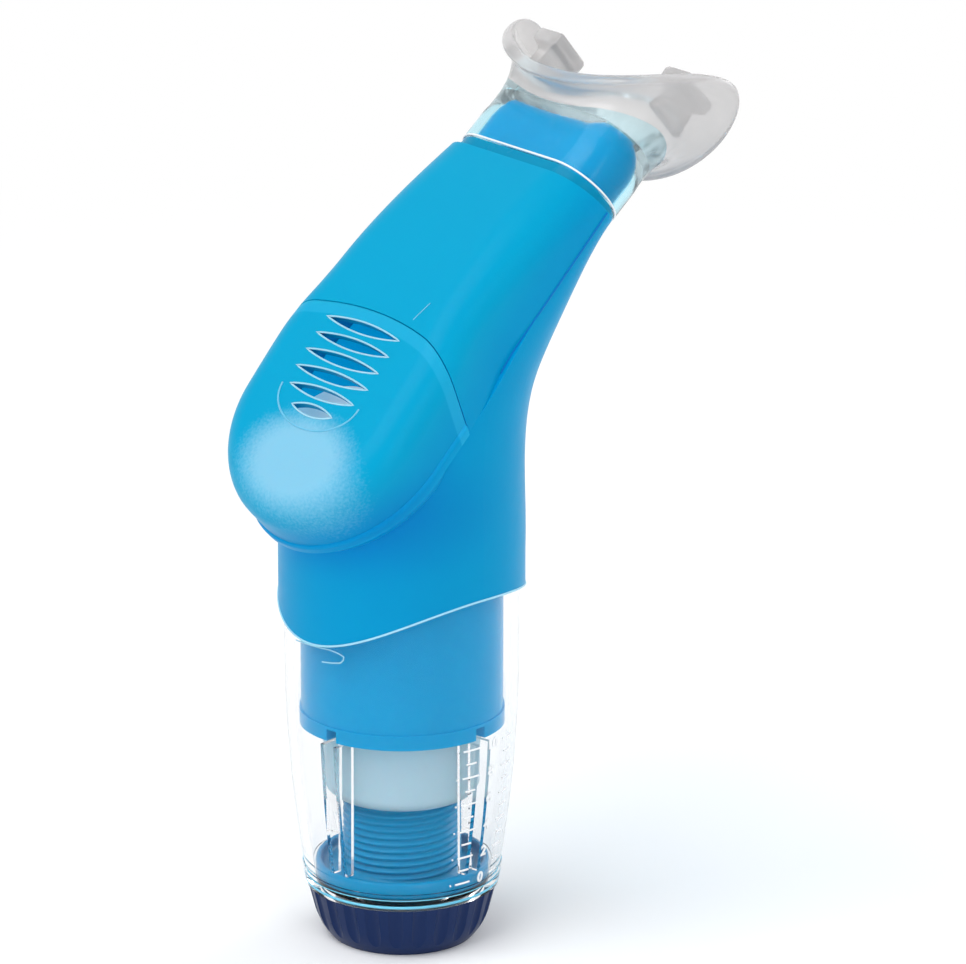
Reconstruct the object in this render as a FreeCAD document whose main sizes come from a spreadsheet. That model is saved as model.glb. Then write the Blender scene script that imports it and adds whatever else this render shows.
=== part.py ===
import FreeCAD, Part
import math
import os
import Sketcher

from FreeCAD import Placement, Rotation, Vector

# A spring loaded breathing trainer for the inspiratory muscles. The origin is the centre of the
# knob's flat underside, +Z runs up the barrel, -Y is the vented nose and +Y the mouth side.
# Sizes are in millimetres and angles in degrees.

doc = FreeCAD.newDocument("BreathingTrainer")

# Driving dimensions: alias, value, meaning
DRIVING = [
    ("knob_height", 10.9, "knob, underside to rim"),
    ("knob_foot_radius", 14.3, "knob, flat underside"),
    ("knob_belly_radius", 17.4, "knob, above its rounded foot"),
    ("knob_belly_height", 5.6, "knob, where the rounded foot ends"),
    ("knob_rim_radius", 18.75, "knob, rim"),
    ("knob_wall", 2.0, "knob, wall and floor"),
    ("knob_foot_round", 12.6, "knob, radius of the rounded foot"),
    ("flute_count", 24, "grip flutes round the knob"),
    ("flute_radius", 2.2, "grip flute, radius of its hollow"),
    ("flute_depth", 0.55, "grip flute, depth at the rim"),
    ("turn_gap", 0.15, "running gap beside turning faces"),
    ("rest_gap", 0.05, "gap where one piece rests on another or is pressed into it"),
    ("assembly_gap", 0.2, "gap between pieces put together once"),
    ("tip_gap", 0.5, "gap beyond the end of a screw or tube in its socket"),
    ("ring_gap", 0.1, "gap between the upper sealing ring and the bore it seals"),
    ("sleeve_foot_radius", 18.8, "clear sleeve, radius at its foot"),
    ("sleeve_top_radius", 23.1, "clear sleeve, straight upper part"),
    ("sleeve_top_height", 60.0, "height where the straight part starts"),
    ("sleeve_wall", 1.7, "clear sleeve, wall"),
    ("web_thickness", 1.6, "clear sleeve, floor web"),
    ("web_bore", 8.6, "clear sleeve, hole for the column's hub"),
    ("foot_band_height", 3.6, "clear sleeve, height of the proud band at its foot"),
    ("foot_band_depth", 0.35, "clear sleeve, how far that band stands out"),
    ("ring_section", 1.0, "thickness of the two sealing rings"),
    ("groove_drop", 3.0, "upper sealing ring, its middle below the sleeve's top"),
    ("knob_ring_radius", 12.5, "sealing ring under the dish, middle radius"),
    ("column_radius", 11.85, "threaded column, crest of its thread"),
    ("column_bore", 8.4, "threaded column, hollow inside"),
    ("column_top", 52.0, "threaded column, height of its upper end"),
    ("dish_radius", 17.2, "dish at the column's foot, outside"),
    ("dish_wall", 1.2, "dish, wall and floor"),
    ("dish_height", 3.4, "dish, floor underside to rim"),
    ("screw_radius", 1.5, "column screw, shank"),
    ("screw_head_radius", 3.0, "column screw, head"),
    ("screw_head_height", 2.0, "column screw, head"),
    ("screw_length", 7.0, "column screw, shank below the head"),
    ("screw_boss_radius", 4.6, "knob, boss for the column screw"),
    ("rib_tip_radius", 16.3, "guide ribs, radius of their inner edges"),
    ("rib_width", 0.9, "guide ribs, thickness"),
    ("rib_pair_gap", 2.4, "guide channel between the two ribs of a pair"),
    ("rib_gap", 0.6, "gap between the sleeve's guide ribs and the barrel"),
    ("channel_count", 4, "guide channels round the sleeve and barrel"),
    ("channel_turn", 7.0, "first guide channel, angle from +X"),
    ("barrel_length", 43.3, "inner barrel, length"),
    ("barrel_radius", 19.9, "inner barrel, outside"),
    ("barrel_bore", 18.3, "inner barrel, inside"),
    ("bead_radius", 20.25, "inner barrel, bead round its foot"),
    ("bead_height", 3.0, "inner barrel, bead"),
    ("barrel_rib_height", 18.0, "guide ribs inside the barrel"),
    ("barrel_flange", 1.8, "inner barrel, flange at its head"),
    ("shoulder_height", 88.5, "main body, shoulder that the barrel hangs from"),
    ("nut_radius", 15.5, "load nut, outside"),
    ("nut_foot", 30.1, "load nut, lower face at the fifth level"),
    ("nut_height", 18.0, "load nut, lower face to spring seat"),
    ("nut_round", 2.5, "load nut, rounded lower edge"),
    ("nut_key_height", 4.0, "load nut, keys that run in the channels"),
    ("nut_key_tip", 17.7, "load nut, radius of the keys' outer faces"),
    ("nut_key_width", 1.8, "load nut, width of a key"),
    ("thread_gap", 0.12, "running gap between column and nut"),
    ("spring_radius", 14.0, "load spring, middle of the wire"),
    ("spring_wire", 1.6, "load spring, wire thickness"),
    ("spring_turns", 7.0, "load spring, turns"),
    ("spring_gap", 0.3, "gap between the spring and the poppet's collar"),
    ("poppet_radius", 14.6, "inhale poppet, plate"),
    ("poppet_plate", 1.6, "inhale poppet, plate thickness"),
    ("poppet_collar_wall", 1.0, "inhale poppet, spring locating collar, wall"),
    ("poppet_collar_height", 3.0, "inhale poppet, spring locating collar"),
    ("poppet_wing_count", 4, "inhale poppet, guide wings"),
    ("poppet_wing_turn", 45.0, "inhale poppet, angle of the first wing from +X"),
    ("poppet_wing_gap", 0.25, "inhale poppet, gap from its wings to the barrel"),
    ("poppet_wing_width", 2.0, "inhale poppet, width of a guide wing"),
    ("poppet_wing_height", 6.0, "inhale poppet, height of a guide wing"),
    ("seal_radius", 12.0, "poppet seal"),
    ("seal_thickness", 1.2, "poppet seal"),
    ("seat_drop", 3.5, "lower mouth of the inlet duct, below the shoulder"),
    ("duct_bore", 8.4, "inlet duct, inside"),
    ("duct_wall", 1.4, "inlet duct, wall"),
    ("duct_place", 6.5, "inlet duct, middle of its upper mouth along the seam"),
    ("duct_flange", 2.0, "inlet duct, flange beyond its outer wall"),
    ("duct_upright", 4.0, "inlet duct, upright length above the seat"),
    ("duct_head", 8.0, "inlet duct, straight length below the deck"),
    ("skirt_gap", 0.15, "gap between the clear sleeve and the skirt"),
    ("skirt_front", 22.5, "skirt edge at the front, below the shoulder"),
    ("skirt_side", 13.0, "skirt edge at the sides, top of its arch, below the shoulder"),
    ("skirt_rear", 18.0, "skirt edge at the rear, below the shoulder"),
    ("body_radius", 24.2, "main body, outside"),
    ("body_wall", 2.0, "main body, wall"),
    ("elbow_start", 8.5, "main body, where the handle starts to grow out, below the shoulder"),
    ("elbow_fan", 0.5, "main body, first fanned section, below the shoulder"),
    ("seam_rise", 25.0, "seam between covers and main body, above the shoulder on the axis"),
    ("seam_tilt", 43.5, "seam, slope above the horizontal"),
    ("handle_length", 47.8, "handle, from the axis to its end along the seam"),
    ("handle_half_width", 21.1, "handle, half width"),
    ("handle_depth", 9.6, "handle, depth below the seam at its end"),
    ("handle_rise", 6.0, "handle, height above the seam at its end"),
    ("nose_radius", 23.6, "nose, plan radius"),
    ("nose_reach", 15.3, "nose, centre of that radius in front of the axis"),
    ("waist_start", 4.0, "where the flanks start to narrow, in front of the axis"),
    ("waist_end", 16.0, "where the flanks stop narrowing, behind the axis"),
    ("crown_height", 16.7, "covers, highest point above the seam"),
    ("crown_place", 14.0, "covers, where that point is along the seam"),
    ("crown_front_radius", 375.0, "covers, arch in front of the highest point"),
    ("rim_round", 6.5, "covers, rounded edge between flank and top"),
    ("cover_wall", 1.8, "top shell, wall"),
    ("vent_wall", 1.6, "vent cover, wall"),
    ("lip_thickness", 1.2, "lip under the joint between the covers, thickness"),
    ("rim_bead_height", 2.0, "vent cover, bead along its lower edge"),
    ("rim_bead_depth", 0.55, "vent cover, how far that bead stands out"),
    ("flange_inset", 0.9, "main body, how far its nose flange stays inside the bead"),
    ("flange_depth", 3.6, "main body, depth of the nose flange"),
    ("flange_ledge", 2.8, "main body, width of the ledge that carries the valve deck"),
    ("split_place", 6.2, "joint between the two covers, on the crown"),
    ("split_radius", 80.0, "joint between the two covers, radius of its arc"),
    ("split_tilt", 23.0, "joint between the two covers, lean towards the nose"),
    ("split_gap", 0.25, "joint between the two covers, width"),
    ("lip_width", 2.2, "lip under the joint between the covers"),
    ("lip_gap", 0.3, "gap between that lip and the valve deck"),
    ("slot_pitch", 3.8, "nose vents, from one slot to the next"),
    ("slot_width", 2.3, "nose vents, width of a slot in its middle"),
    ("slot_first", 2.2, "nose vents, place of the slot nearest the mouth"),
    ("slot_count", 6, "nose vents, number of slots"),
    ("vent_half_width", 10.5, "nose vents, half width of their field"),
    ("vent_turn", 8.0, "nose vents, where the field's round end starts"),
    ("deck_thickness", 1.5, "valve deck, plate"),
    ("deck_gap", 0.2, "valve deck, gap to the covers"),
    ("bulkhead_place", 18.0, "valve deck, place of its rear bulkhead"),
    ("exhale_place", 19.5, "exhale valve, middle in front of the axis"),
    ("exhale_radius", 12.6, "exhale valve, outside of its seat"),
    ("exhale_foot", 1.2, "exhale valve, ring round the seat's foot, width"),
    ("exhale_foot_height", 1.0, "exhale valve, height of that ring"),
    ("exhale_wall", 1.3, "exhale valve, wall and spokes of its seat"),
    ("exhale_height", 5.2, "exhale valve, height of its seat above the deck"),
    ("exhale_spokes", 6, "exhale valve, spokes of its seat"),
    ("exhale_hub", 3.0, "exhale valve, hub of its seat"),
    ("exhale_lift", 1.2, "exhale valve, lift of its flap"),
    ("flap_radius", 13.4, "exhale flap"),
    ("flap_thickness", 0.8, "exhale flap"),
    ("stud_radius", 1.3, "flap stud, shank"),
    ("stud_barb", 0.5, "flap stud, how far its barb stands out"),
    ("stud_barb_height", 1.2, "flap stud, barb"),
    ("stud_head_radius", 2.8, "flap stud, head"),
    ("stud_head_height", 1.0, "flap stud, head"),
    ("collar_tilt", 39.0, "mouth collar, slope above the horizontal"),
    ("collar_centre", 1.0, "mouth collar, its middle above the seam"),
    ("collar_half_width", 20.3, "mouth collar, half width"),
    ("collar_half_depth", 9.3, "mouth collar, half thickness"),
    ("collar_length", 17.4, "mouth collar, along its own axis"),
    ("collar_gap", 0.35, "gap between the handle's end and the mouth collar"),
    ("collar_wall", 1.7, "mouth collar, wall"),
    ("spigot_gap", 0.3, "gap between spigot and collar"),
    ("spigot_wall", 1.6, "spigot, wall"),
    ("spigot_reach", 14.5, "spigot, length outside the handle"),
    ("spigot_root", 8.0, "spigot, length inside the handle"),
    ("spigot_flange", 1.6, "spigot, flange against the handle's end"),
    ("shield_half_width", 29.1, "mouth shield, half width"),
    ("shield_half_height", 16.1, "mouth shield, half height"),
    ("shield_bow", 33.0, "mouth shield, radius that it bends round the teeth"),
    ("shield_place", 16.8, "mouth shield, its middle along the collar"),
    ("shield_thickness", 1.8, "mouth shield, thickness"),
    ("flare_start", 12.0, "mouthpiece, where the collar starts to flare into the shield"),
    ("flare_depth", 12.2, "mouthpiece, half thickness of the flare's wide end"),
    ("flare_width", 18.6, "mouthpiece, half width of the flare's wide end"),
    ("airway_wall", 2.6, "mouthpiece, wall above and below the airway at the shield"),
    ("bead_thickness", 2.6, "mouth shield, bead round its edge"),
    ("bead_width", 1.8, "mouth shield, width of that bead"),
    ("bite_place", 19.0, "bite blocks, middle from the centre"),
    ("bite_width", 3.0, "bite blocks, width of the stalk"),
    ("bite_height", 7.0, "bite blocks, height of the stalk"),
    ("bite_reach", 15.5, "bite blocks, reach beyond the middle of the shield"),
    ("bite_lug", 7.0, "bite blocks, width of the lug at the end"),
    ("bite_lug_height", 10.0, "bite blocks, height of that lug"),
    ("bite_lug_length", 3.4, "bite blocks, length of that lug"),
    ("bite_round", 1.2, "bite blocks, rounded edges"),
]


class Dim:
    """A size worked out from the sheet: its value now and the formula that bindings use."""

    def __init__(self, value, formula):
        self.value = float(value)
        self.formula = formula

    def __add__(self, other):
        other = dim(other)
        return Dim(self.value + other.value, f"({self.formula} + {other.formula})")

    def __sub__(self, other):
        other = dim(other)
        return Dim(self.value - other.value, f"({self.formula} - {other.formula})")

    def __mul__(self, other):
        other = dim(other)
        return Dim(self.value * other.value, f"({self.formula} * {other.formula})")

    def __truediv__(self, other):
        other = dim(other)
        return Dim(self.value / other.value, f"({self.formula} / {other.formula})")

    def __neg__(self):
        return Dim(-self.value, f"(0 - {self.formula})")

    def __radd__(self, other):
        return dim(other) + self

    def __rsub__(self, other):
        return dim(other) - self

    def __rmul__(self, other):
        return dim(other) * self


def dim(thing):
    return thing if isinstance(thing, Dim) else Dim(thing, f"{float(thing):.10f}")


def cosine(angle):
    angle = dim(angle)
    return Dim(math.cos(math.radians(angle.value)), f"cos({angle.formula} * 1 deg)")


def sine(angle):
    angle = dim(angle)
    return Dim(math.sin(math.radians(angle.value)), f"sin({angle.formula} * 1 deg)")


def root(number):
    return Dim(math.sqrt(number.value), f"sqrt({number.formula})")


def lesser(one, two):
    return Dim(min(one.value, two.value), f"min({one.formula}; {two.formula})")


class Sizes:
    """The driving dimensions, each one a Dim bound to its cell."""


def fill_sheet():
    sheet = doc.addObject("Spreadsheet::Sheet", "Sizes")
    sizes = Sizes()
    for row, (alias, value, meaning) in enumerate(DRIVING, 1):
        sheet.set(f"A{row}", meaning)
        sheet.set(f"B{row}", str(value))
        sheet.setAlias(f"B{row}", alias)
        setattr(sizes, alias, Dim(value, f"Sizes.{alias}"))
    doc.recompute()
    return sizes


S = fill_sheet()


class Frame:
    """Axes turned about X: where their origin is, and how far their own y axis slopes up."""

    def __init__(self, y, z, tilt):
        self.y = dim(y)
        self.z = dim(z)
        self.tilt = dim(tilt)

    def point(self, y, z):
        """The height and depth, in the main axes, of a point given in these axes."""
        cos_tilt = cosine(self.tilt)
        sin_tilt = sine(self.tilt)
        return self.y + y * cos_tilt - z * sin_tilt, self.z + y * sin_tilt + z * cos_tilt

    def moved(self, y, z, tilt):
        """Axes at a point of these ones, with a slope of their own."""
        return Frame(*self.point(dim(y), dim(z)), tilt)


AXIS = Frame(0, 0, 0)
seam_height = S.shoulder_height + S.seam_rise
SEAM = Frame(0, seam_height, S.seam_tilt)
COLLAR = SEAM.moved(S.handle_length, S.collar_centre, S.collar_tilt)


def bind(item, sizes):
    for path, size in sizes.items():
        item.setExpression(path, dim(size).formula)


def put(item, frame=AXIS, x=0, y=0, z=0):
    """Place an object at a point of a frame, turned with that frame."""
    x, y, z = dim(x), dim(y), dim(z)
    place_y, place_z = frame.point(y, z)
    item.Placement = Placement(
        Vector(x.value, place_y.value, place_z.value),
        Rotation(Vector(1, 0, 0), frame.tilt.value),
    )
    bind(item, {"Placement.Base.x": x, "Placement.Base.y": place_y, "Placement.Base.z": place_z})
    if frame is not AXIS:
        item.setExpression("Placement.Rotation.Angle", frame.tilt.formula)
    return item


def cylinder(name, radius, height, frame=AXIS, x=0, y=0, z=0):
    item = doc.addObject("Part::Cylinder", name)
    bind(item, {"Radius": radius, "Height": height})
    return put(item, frame, x, y, z)


def block(name, low, high, frame=AXIS):
    """A box from its lowest to its highest corner, in the frame's own axes."""
    item = doc.addObject("Part::Box", name)
    for path, start, end in zip(("Length", "Width", "Height"), low, high):
        bind(item, {path: dim(end) - start})
    return put(item, frame, *low)


def fuse(name, *items):
    item = doc.addObject("Part::MultiFuse", name)
    item.Shapes = list(items)
    return item


def common(name, *items):
    item = doc.addObject("Part::MultiCommon", name)
    item.Shapes = list(items)
    return item


def cut(name, base, *tools):
    item = doc.addObject("Part::Cut", name)
    item.Base = base
    item.Tool = tools[0] if len(tools) == 1 else fuse(name + "_tools", *tools)
    return item


def round_edges(name, base, radius, wanted):
    """Fillet the edges of an object that a test picks by their middle point."""
    doc.recompute()
    picked = []
    for number, edge in enumerate(base.Shape.Edges, 1):
        middle = edge.valueAt((edge.FirstParameter + edge.LastParameter) / 2)
        if wanted(middle):
            picked.append((number, radius.value, radius.value))
    item = doc.addObject("Part::Fillet", name)
    item.Base = base
    item.Edges = picked
    return item


def line(x, y):
    return ("line", dim(x), dim(y))


def arc(x, y, centre_x, centre_y, turn):
    """An arc to a point round a centre; turn is +1 anticlockwise and -1 clockwise."""
    return ("arc", dim(x), dim(y), dim(centre_x), dim(centre_y), turn)


def angle_of(x, y):
    return math.atan2(y.value, x.value)


def hold(sketch, kind, geometry, point, size):
    """Tie one coordinate of a sketch point to a formula."""
    number = sketch.addConstraint(Sketcher.Constraint(kind, -1, 1, geometry, point, size.value))
    sketch.setExpression(f"Constraints[{number}]", size.formula)


def draw(sketch, start, moves):
    """A closed outline of lines and arcs, each corner tied to the sheet."""
    start = (dim(start[0]), dim(start[1]))
    here = start
    first = sketch.GeometryCount
    ends = []
    for move in moves:
        there = (move[1], move[2])
        begin = Vector(here[0].value, here[1].value, 0)
        end = Vector(there[0].value, there[1].value, 0)
        if move[0] == "line":
            sketch.addGeometry(Part.LineSegment(begin, end), False)
            ends.append((1, 2))
        else:
            centre = (move[3], move[4])
            reach = math.hypot((here[0] - centre[0]).value, (here[1] - centre[1]).value)
            circle = Part.Circle(Vector(centre[0].value, centre[1].value, 0), Vector(0, 0, 1), reach)
            begin_angle = angle_of(here[0] - centre[0], here[1] - centre[1])
            end_angle = angle_of(there[0] - centre[0], there[1] - centre[1])
            if move[5] > 0:
                sketch.addGeometry(Part.ArcOfCircle(circle, begin_angle, end_angle), False)
                ends.append((1, 2))
            else:
                sketch.addGeometry(Part.ArcOfCircle(circle, end_angle, begin_angle), False)
                ends.append((2, 1))
        here = there
    count = len(moves)
    for step in range(count):
        number = first + step
        following = first + (step + 1) % count
        sketch.addConstraint(
            Sketcher.Constraint("Coincident", number, ends[step][1], following, ends[(step + 1) % count][0])
        )
        hold(sketch, "DistanceX", number, ends[step][1], moves[step][1])
        hold(sketch, "DistanceY", number, ends[step][1], moves[step][2])
        if moves[step][0] == "arc":
            hold_centre(sketch, number, moves[step - 1] if step else ("start",) + start, moves[step])


def hold_centre(sketch, number, before, move):
    """One coordinate fixes an arc's centre, because its ends already fix the other."""
    across = abs((move[1] - before[1]).value)
    along = abs((move[2] - before[2]).value)
    if along > across:
        hold(sketch, "DistanceX", number, 3, move[3])
    else:
        hold(sketch, "DistanceY", number, 3, move[4])


def flat_sketch(name):
    return doc.addObject("Sketcher::SketchObject", name)


def side_sketch(name):
    """A sketch in the plane of symmetry: its x runs along y and its y runs along z."""
    sketch = doc.addObject("Sketcher::SketchObject", name)
    sketch.Placement = Placement(Vector(0, 0, 0), Rotation(Vector(1, 1, 1), 120))
    return sketch


def extrude(name, sketch, depth, both_ways=False):
    item = doc.addObject("Part::Extrusion", name)
    item.Base = sketch
    item.DirMode = "Normal"
    item.LengthFwd = dim(depth).value
    bind(item, {"LengthFwd": depth})
    item.Symmetric = both_ways
    item.Solid = True
    return item


def turned(name, start, moves):
    """A solid of revolution about Z; the outline's x is its radius and its y is its height."""
    body = doc.addObject("PartDesign::Body", name)
    sketch = body.newObject("Sketcher::SketchObject", name + "_profile")
    upright = [plane for plane in body.Origin.OriginFeatures if plane.Role == "XZ_Plane"][0]
    sketch.AttachmentSupport = [(upright, "")]
    sketch.MapMode = "FlatFace"
    draw(sketch, start, moves)
    revolution = body.newObject("PartDesign::Revolution", name + "_turning")
    revolution.Profile = sketch
    revolution.ReferenceAxis = (sketch, ["V_Axis"])
    revolution.Angle = 360
    body.Tip = revolution
    return body


def spoke(name, angle, inner, outer, offset, width, low, high):
    """A radial box at an angle about Z; offset moves its middle sideways."""
    item = doc.addObject("Part::Box", name)
    side = dim(offset) - dim(width) / 2
    bind(item, {"Length": dim(outer) - inner, "Width": width, "Height": dim(high) - low})
    across = inner * cosine(angle) - side * sine(angle)
    along = inner * sine(angle) + side * cosine(angle)
    item.Placement = Placement(
        Vector(across.value, along.value, dim(low).value), Rotation(Vector(0, 0, 1), angle.value)
    )
    bind(item, {"Placement.Base.x": across, "Placement.Base.y": along, "Placement.Base.z": low})
    item.setExpression("Placement.Rotation.Angle", angle.formula)
    return item


def around(count, first_angle=0):
    """The angles of a ring of equal parts, first_angle being the first."""
    total = int(round(count.value))
    return [dim(first_angle) + dim(360) * number / count for number in range(total)]


def number_of(count):
    return int(round(count.value))


# Heights that several pieces share, from the knob upwards
web_low = S.knob_height + S.turn_gap
web_high = web_low + S.web_thickness
dish_low = web_high + S.turn_gap
dish_floor = dish_low + S.dish_wall
dish_high = dish_low + S.dish_height
nut_high = S.nut_foot + S.nut_height
seat_height = S.shoulder_height - S.seat_drop
seal_high = seat_height - S.rest_gap
seal_low = seal_high - S.seal_thickness
poppet_low = seal_low - S.poppet_plate
barrel_foot = S.shoulder_height - S.barrel_length
barrel_flange_low = S.shoulder_height - S.barrel_flange
sleeve_high = barrel_flange_low - S.assembly_gap
elbow_start = S.shoulder_height - S.elbow_start
elbow_fan = S.shoulder_height - S.elbow_fan
skirt_front = S.shoulder_height - S.skirt_front
skirt_side = S.shoulder_height - S.skirt_side
skirt_rear = S.shoulder_height - S.skirt_rear
skirt_bore = S.sleeve_top_radius + S.skirt_gap

# Sides of the wire's and the rings' sections, and lengths that only have to reach past a piece
WIRE_SIDES = 8
RING_SIDES = 8
PAST = 1
OVERLAP = 8
FAR = 120

# Knob and column


def make_knob():
    """A tapered cup with a rounded foot, a boss for the column screw and shallow grip flutes."""
    rise = S.knob_belly_height
    run = S.knob_belly_radius - S.knob_foot_radius
    chord = root(rise * rise + run * run)
    reach = root(S.knob_foot_round * S.knob_foot_round - chord * chord / 4)
    centre_radius = (S.knob_foot_radius + S.knob_belly_radius) / 2 - reach * rise / chord
    centre_height = rise / 2 + reach * run / chord
    pilot = S.screw_radius + S.rest_gap
    pilot_floor = dish_floor - S.screw_length - S.tip_gap
    inner_foot = S.knob_foot_radius - S.knob_wall / 2
    cup = turned("knob_cup", (0, 0), [
        line(S.knob_foot_radius, 0),
        arc(S.knob_belly_radius, S.knob_belly_height, centre_radius, centre_height, 1),
        line(S.knob_rim_radius, S.knob_height),
        line(S.knob_rim_radius - S.knob_wall, S.knob_height),
        line(inner_foot, S.knob_wall),
        line(S.screw_boss_radius, S.knob_wall),
        line(S.screw_boss_radius, S.knob_height),
        line(pilot, S.knob_height),
        line(pilot, pilot_floor),
        line(0, pilot_floor),
        line(0, 0),
    ])
    taper_run = S.knob_rim_radius - S.knob_belly_radius
    taper_rise = S.knob_height - S.knob_belly_height
    lean = math.degrees(math.atan2(taper_run.value, taper_rise.value))
    slope = taper_run / taper_rise
    out = S.knob_rim_radius - S.flute_depth + S.flute_radius - slope * (S.knob_height + OVERLAP)
    flutes = []
    for number, angle in enumerate(around(S.flute_count, 90), 1):
        flute = doc.addObject("Part::Cylinder", f"flute_{number}")
        bind(flute, {"Radius": S.flute_radius, "Height": S.knob_height + 2 * OVERLAP})
        across = out * cosine(angle)
        along = out * sine(angle)
        turn = Rotation(Vector(0, 0, 1), angle.value) * Rotation(Vector(0, 1, 0), lean)
        flute.Placement = Placement(Vector(across.value, along.value, -OVERLAP), turn)
        bind(flute, {"Placement.Base.x": across, "Placement.Base.y": along})
        flutes.append(flute)
    return cut("knob_fluted", cup, *flutes)


def make_column():
    """The hollow threaded column, its dish, and the hub that turns in the sleeve's floor."""
    hub = S.web_bore - S.turn_gap
    pilot = S.screw_radius + S.rest_gap
    return turned("column_turned", (pilot, S.knob_height), [
        line(hub, S.knob_height),
        line(hub, dish_low),
        line(S.dish_radius, dish_low),
        line(S.dish_radius, dish_high),
        line(S.dish_radius - S.dish_wall, dish_high),
        line(S.dish_radius - S.dish_wall, dish_floor),
        line(S.column_radius, dish_floor),
        line(S.column_radius, S.column_top),
        line(S.column_bore, S.column_top),
        line(S.column_bore, dish_floor),
        line(pilot, dish_floor),
        line(pilot, S.knob_height),
    ])


def make_column_screw():
    tip = dish_floor - S.screw_length
    head = dish_floor + S.screw_head_height
    return turned("screw_turned", (0, tip), [
        line(S.screw_radius, tip),
        line(S.screw_radius, dish_floor),
        line(S.screw_head_radius, dish_floor),
        line(S.screw_head_radius, head),
        line(0, head),
        line(0, tip),
    ])


def make_ring(name, radius, middle):
    """A sealing ring, its section drawn as a regular polygon."""
    corners = []
    for angle in around(dim(RING_SIDES), 180 / RING_SIDES):
        corners.append((radius + cosine(angle) * S.ring_section / 2,
                        middle + sine(angle) * S.ring_section / 2))
    return turned(name, corners[0], [line(*corner) for corner in corners[1:] + corners[:1]])


# Clear sleeve, barrel and nut


def sleeve_bow():
    """The radius of the sleeve's long outer curve, upright where its straight part starts."""
    rise = S.sleeve_top_height - web_low
    run = S.sleeve_top_radius - S.sleeve_foot_radius
    return (rise * rise + run * run) / (run * 2)


def sleeve_radius(inset, height):
    """The radius of that curve, moved inwards by inset, at a height below its top."""
    bow = sleeve_bow() - inset
    drop = S.sleeve_top_height - height
    return S.sleeve_top_radius - sleeve_bow() + root(bow * bow - drop * drop)


def guide_ribs(name, outer, low, high):
    """Pairs of ribs; the nut's keys run in the channel between the two of a pair."""
    ribs = []
    for number, angle in enumerate(around(S.channel_count, S.channel_turn), 1):
        offset = (S.rib_pair_gap + S.rib_width) / 2
        for side, way in (("left", -1), ("right", 1)):
            ribs.append(
                spoke(f"{name}_{number}_{side}", angle, S.rib_tip_radius, outer, offset * way,
                      S.rib_width, low, high)
            )
    return ribs


def make_sleeve():
    """The clear tensioner: a flared tube with a floor web, seal grooves and guide channels."""
    bow_middle = S.sleeve_top_radius - sleeve_bow()
    band_low = S.sleeve_foot_radius + S.foot_band_depth
    band_high = web_low + S.foot_band_height
    half_ring = S.ring_section / 2 + S.rest_gap
    groove_middle = sleeve_high - S.groove_drop
    groove_floor = skirt_bore - S.ring_gap - S.ring_section
    knob_groove = web_high - S.ring_section + S.rest_gap
    top = S.sleeve_top_radius
    inside = top - S.sleeve_wall
    shell = turned("sleeve_shell", (S.web_bore, web_low), [
        line(band_low, web_low),
        line(sleeve_radius(-S.foot_band_depth, band_high), band_high),
        line(sleeve_radius(0, band_high), band_high),
        arc(top, S.sleeve_top_height, bow_middle, S.sleeve_top_height, 1),
        line(top, groove_middle - half_ring),
        line(groove_floor, groove_middle - half_ring),
        line(groove_floor, groove_middle + half_ring),
        line(top, groove_middle + half_ring),
        line(top, sleeve_high),
        line(inside, sleeve_high),
        line(inside, S.sleeve_top_height),
        arc(sleeve_radius(S.sleeve_wall, web_high), web_high, bow_middle, S.sleeve_top_height, -1),
        line(S.knob_ring_radius + half_ring, web_high),
        line(S.knob_ring_radius + half_ring, knob_groove),
        line(S.knob_ring_radius - half_ring, knob_groove),
        line(S.knob_ring_radius - half_ring, web_high),
        line(S.web_bore, web_high),
        line(S.web_bore, web_low),
    ])
    rib_foot = dish_high + S.rib_gap
    half_wall = S.sleeve_wall / 2
    core = turned("sleeve_core", (0, rib_foot), [
        line(sleeve_radius(half_wall, rib_foot), rib_foot),
        arc(top - half_wall, S.sleeve_top_height, bow_middle, S.sleeve_top_height, 1),
        line(0, S.sleeve_top_height),
        line(0, rib_foot),
    ])
    ribs = guide_ribs("sleeve_rib", S.sleeve_top_radius, rib_foot, barrel_foot - S.rib_gap)
    return fuse("sleeve_ribbed", shell, common("sleeve_ribs", core, fuse("sleeve_rib_set", *ribs)))


def make_barrel():
    """The blue cartridge that holds spring and poppet, hung from the body's shoulder."""
    flange = skirt_bore - S.skirt_gap
    bead_top = barrel_foot + S.bead_height
    tube = turned("barrel_tube", (S.barrel_bore, barrel_foot), [
        line(S.bead_radius, barrel_foot),
        line(S.bead_radius, bead_top),
        line(S.barrel_radius, bead_top),
        line(S.barrel_radius, barrel_flange_low),
        line(flange, barrel_flange_low),
        line(flange, S.shoulder_height),
        line(S.barrel_bore, S.shoulder_height),
        line(S.barrel_bore, barrel_foot),
    ])
    middle = (S.barrel_bore + S.barrel_radius) / 2
    ribs = guide_ribs("barrel_rib", middle, barrel_foot, barrel_foot + S.barrel_rib_height)
    notches = [
        spoke(f"barrel_notch_{number}", angle, S.barrel_bore - PAST, S.bead_radius + PAST, 0,
              S.rib_pair_gap, barrel_foot - PAST, bead_top - S.rib_gap)
        for number, angle in enumerate(around(S.channel_count, S.channel_turn), 1)
    ]
    return cut("barrel_notched", fuse("barrel_ribbed", tube, *ribs), *notches)


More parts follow.
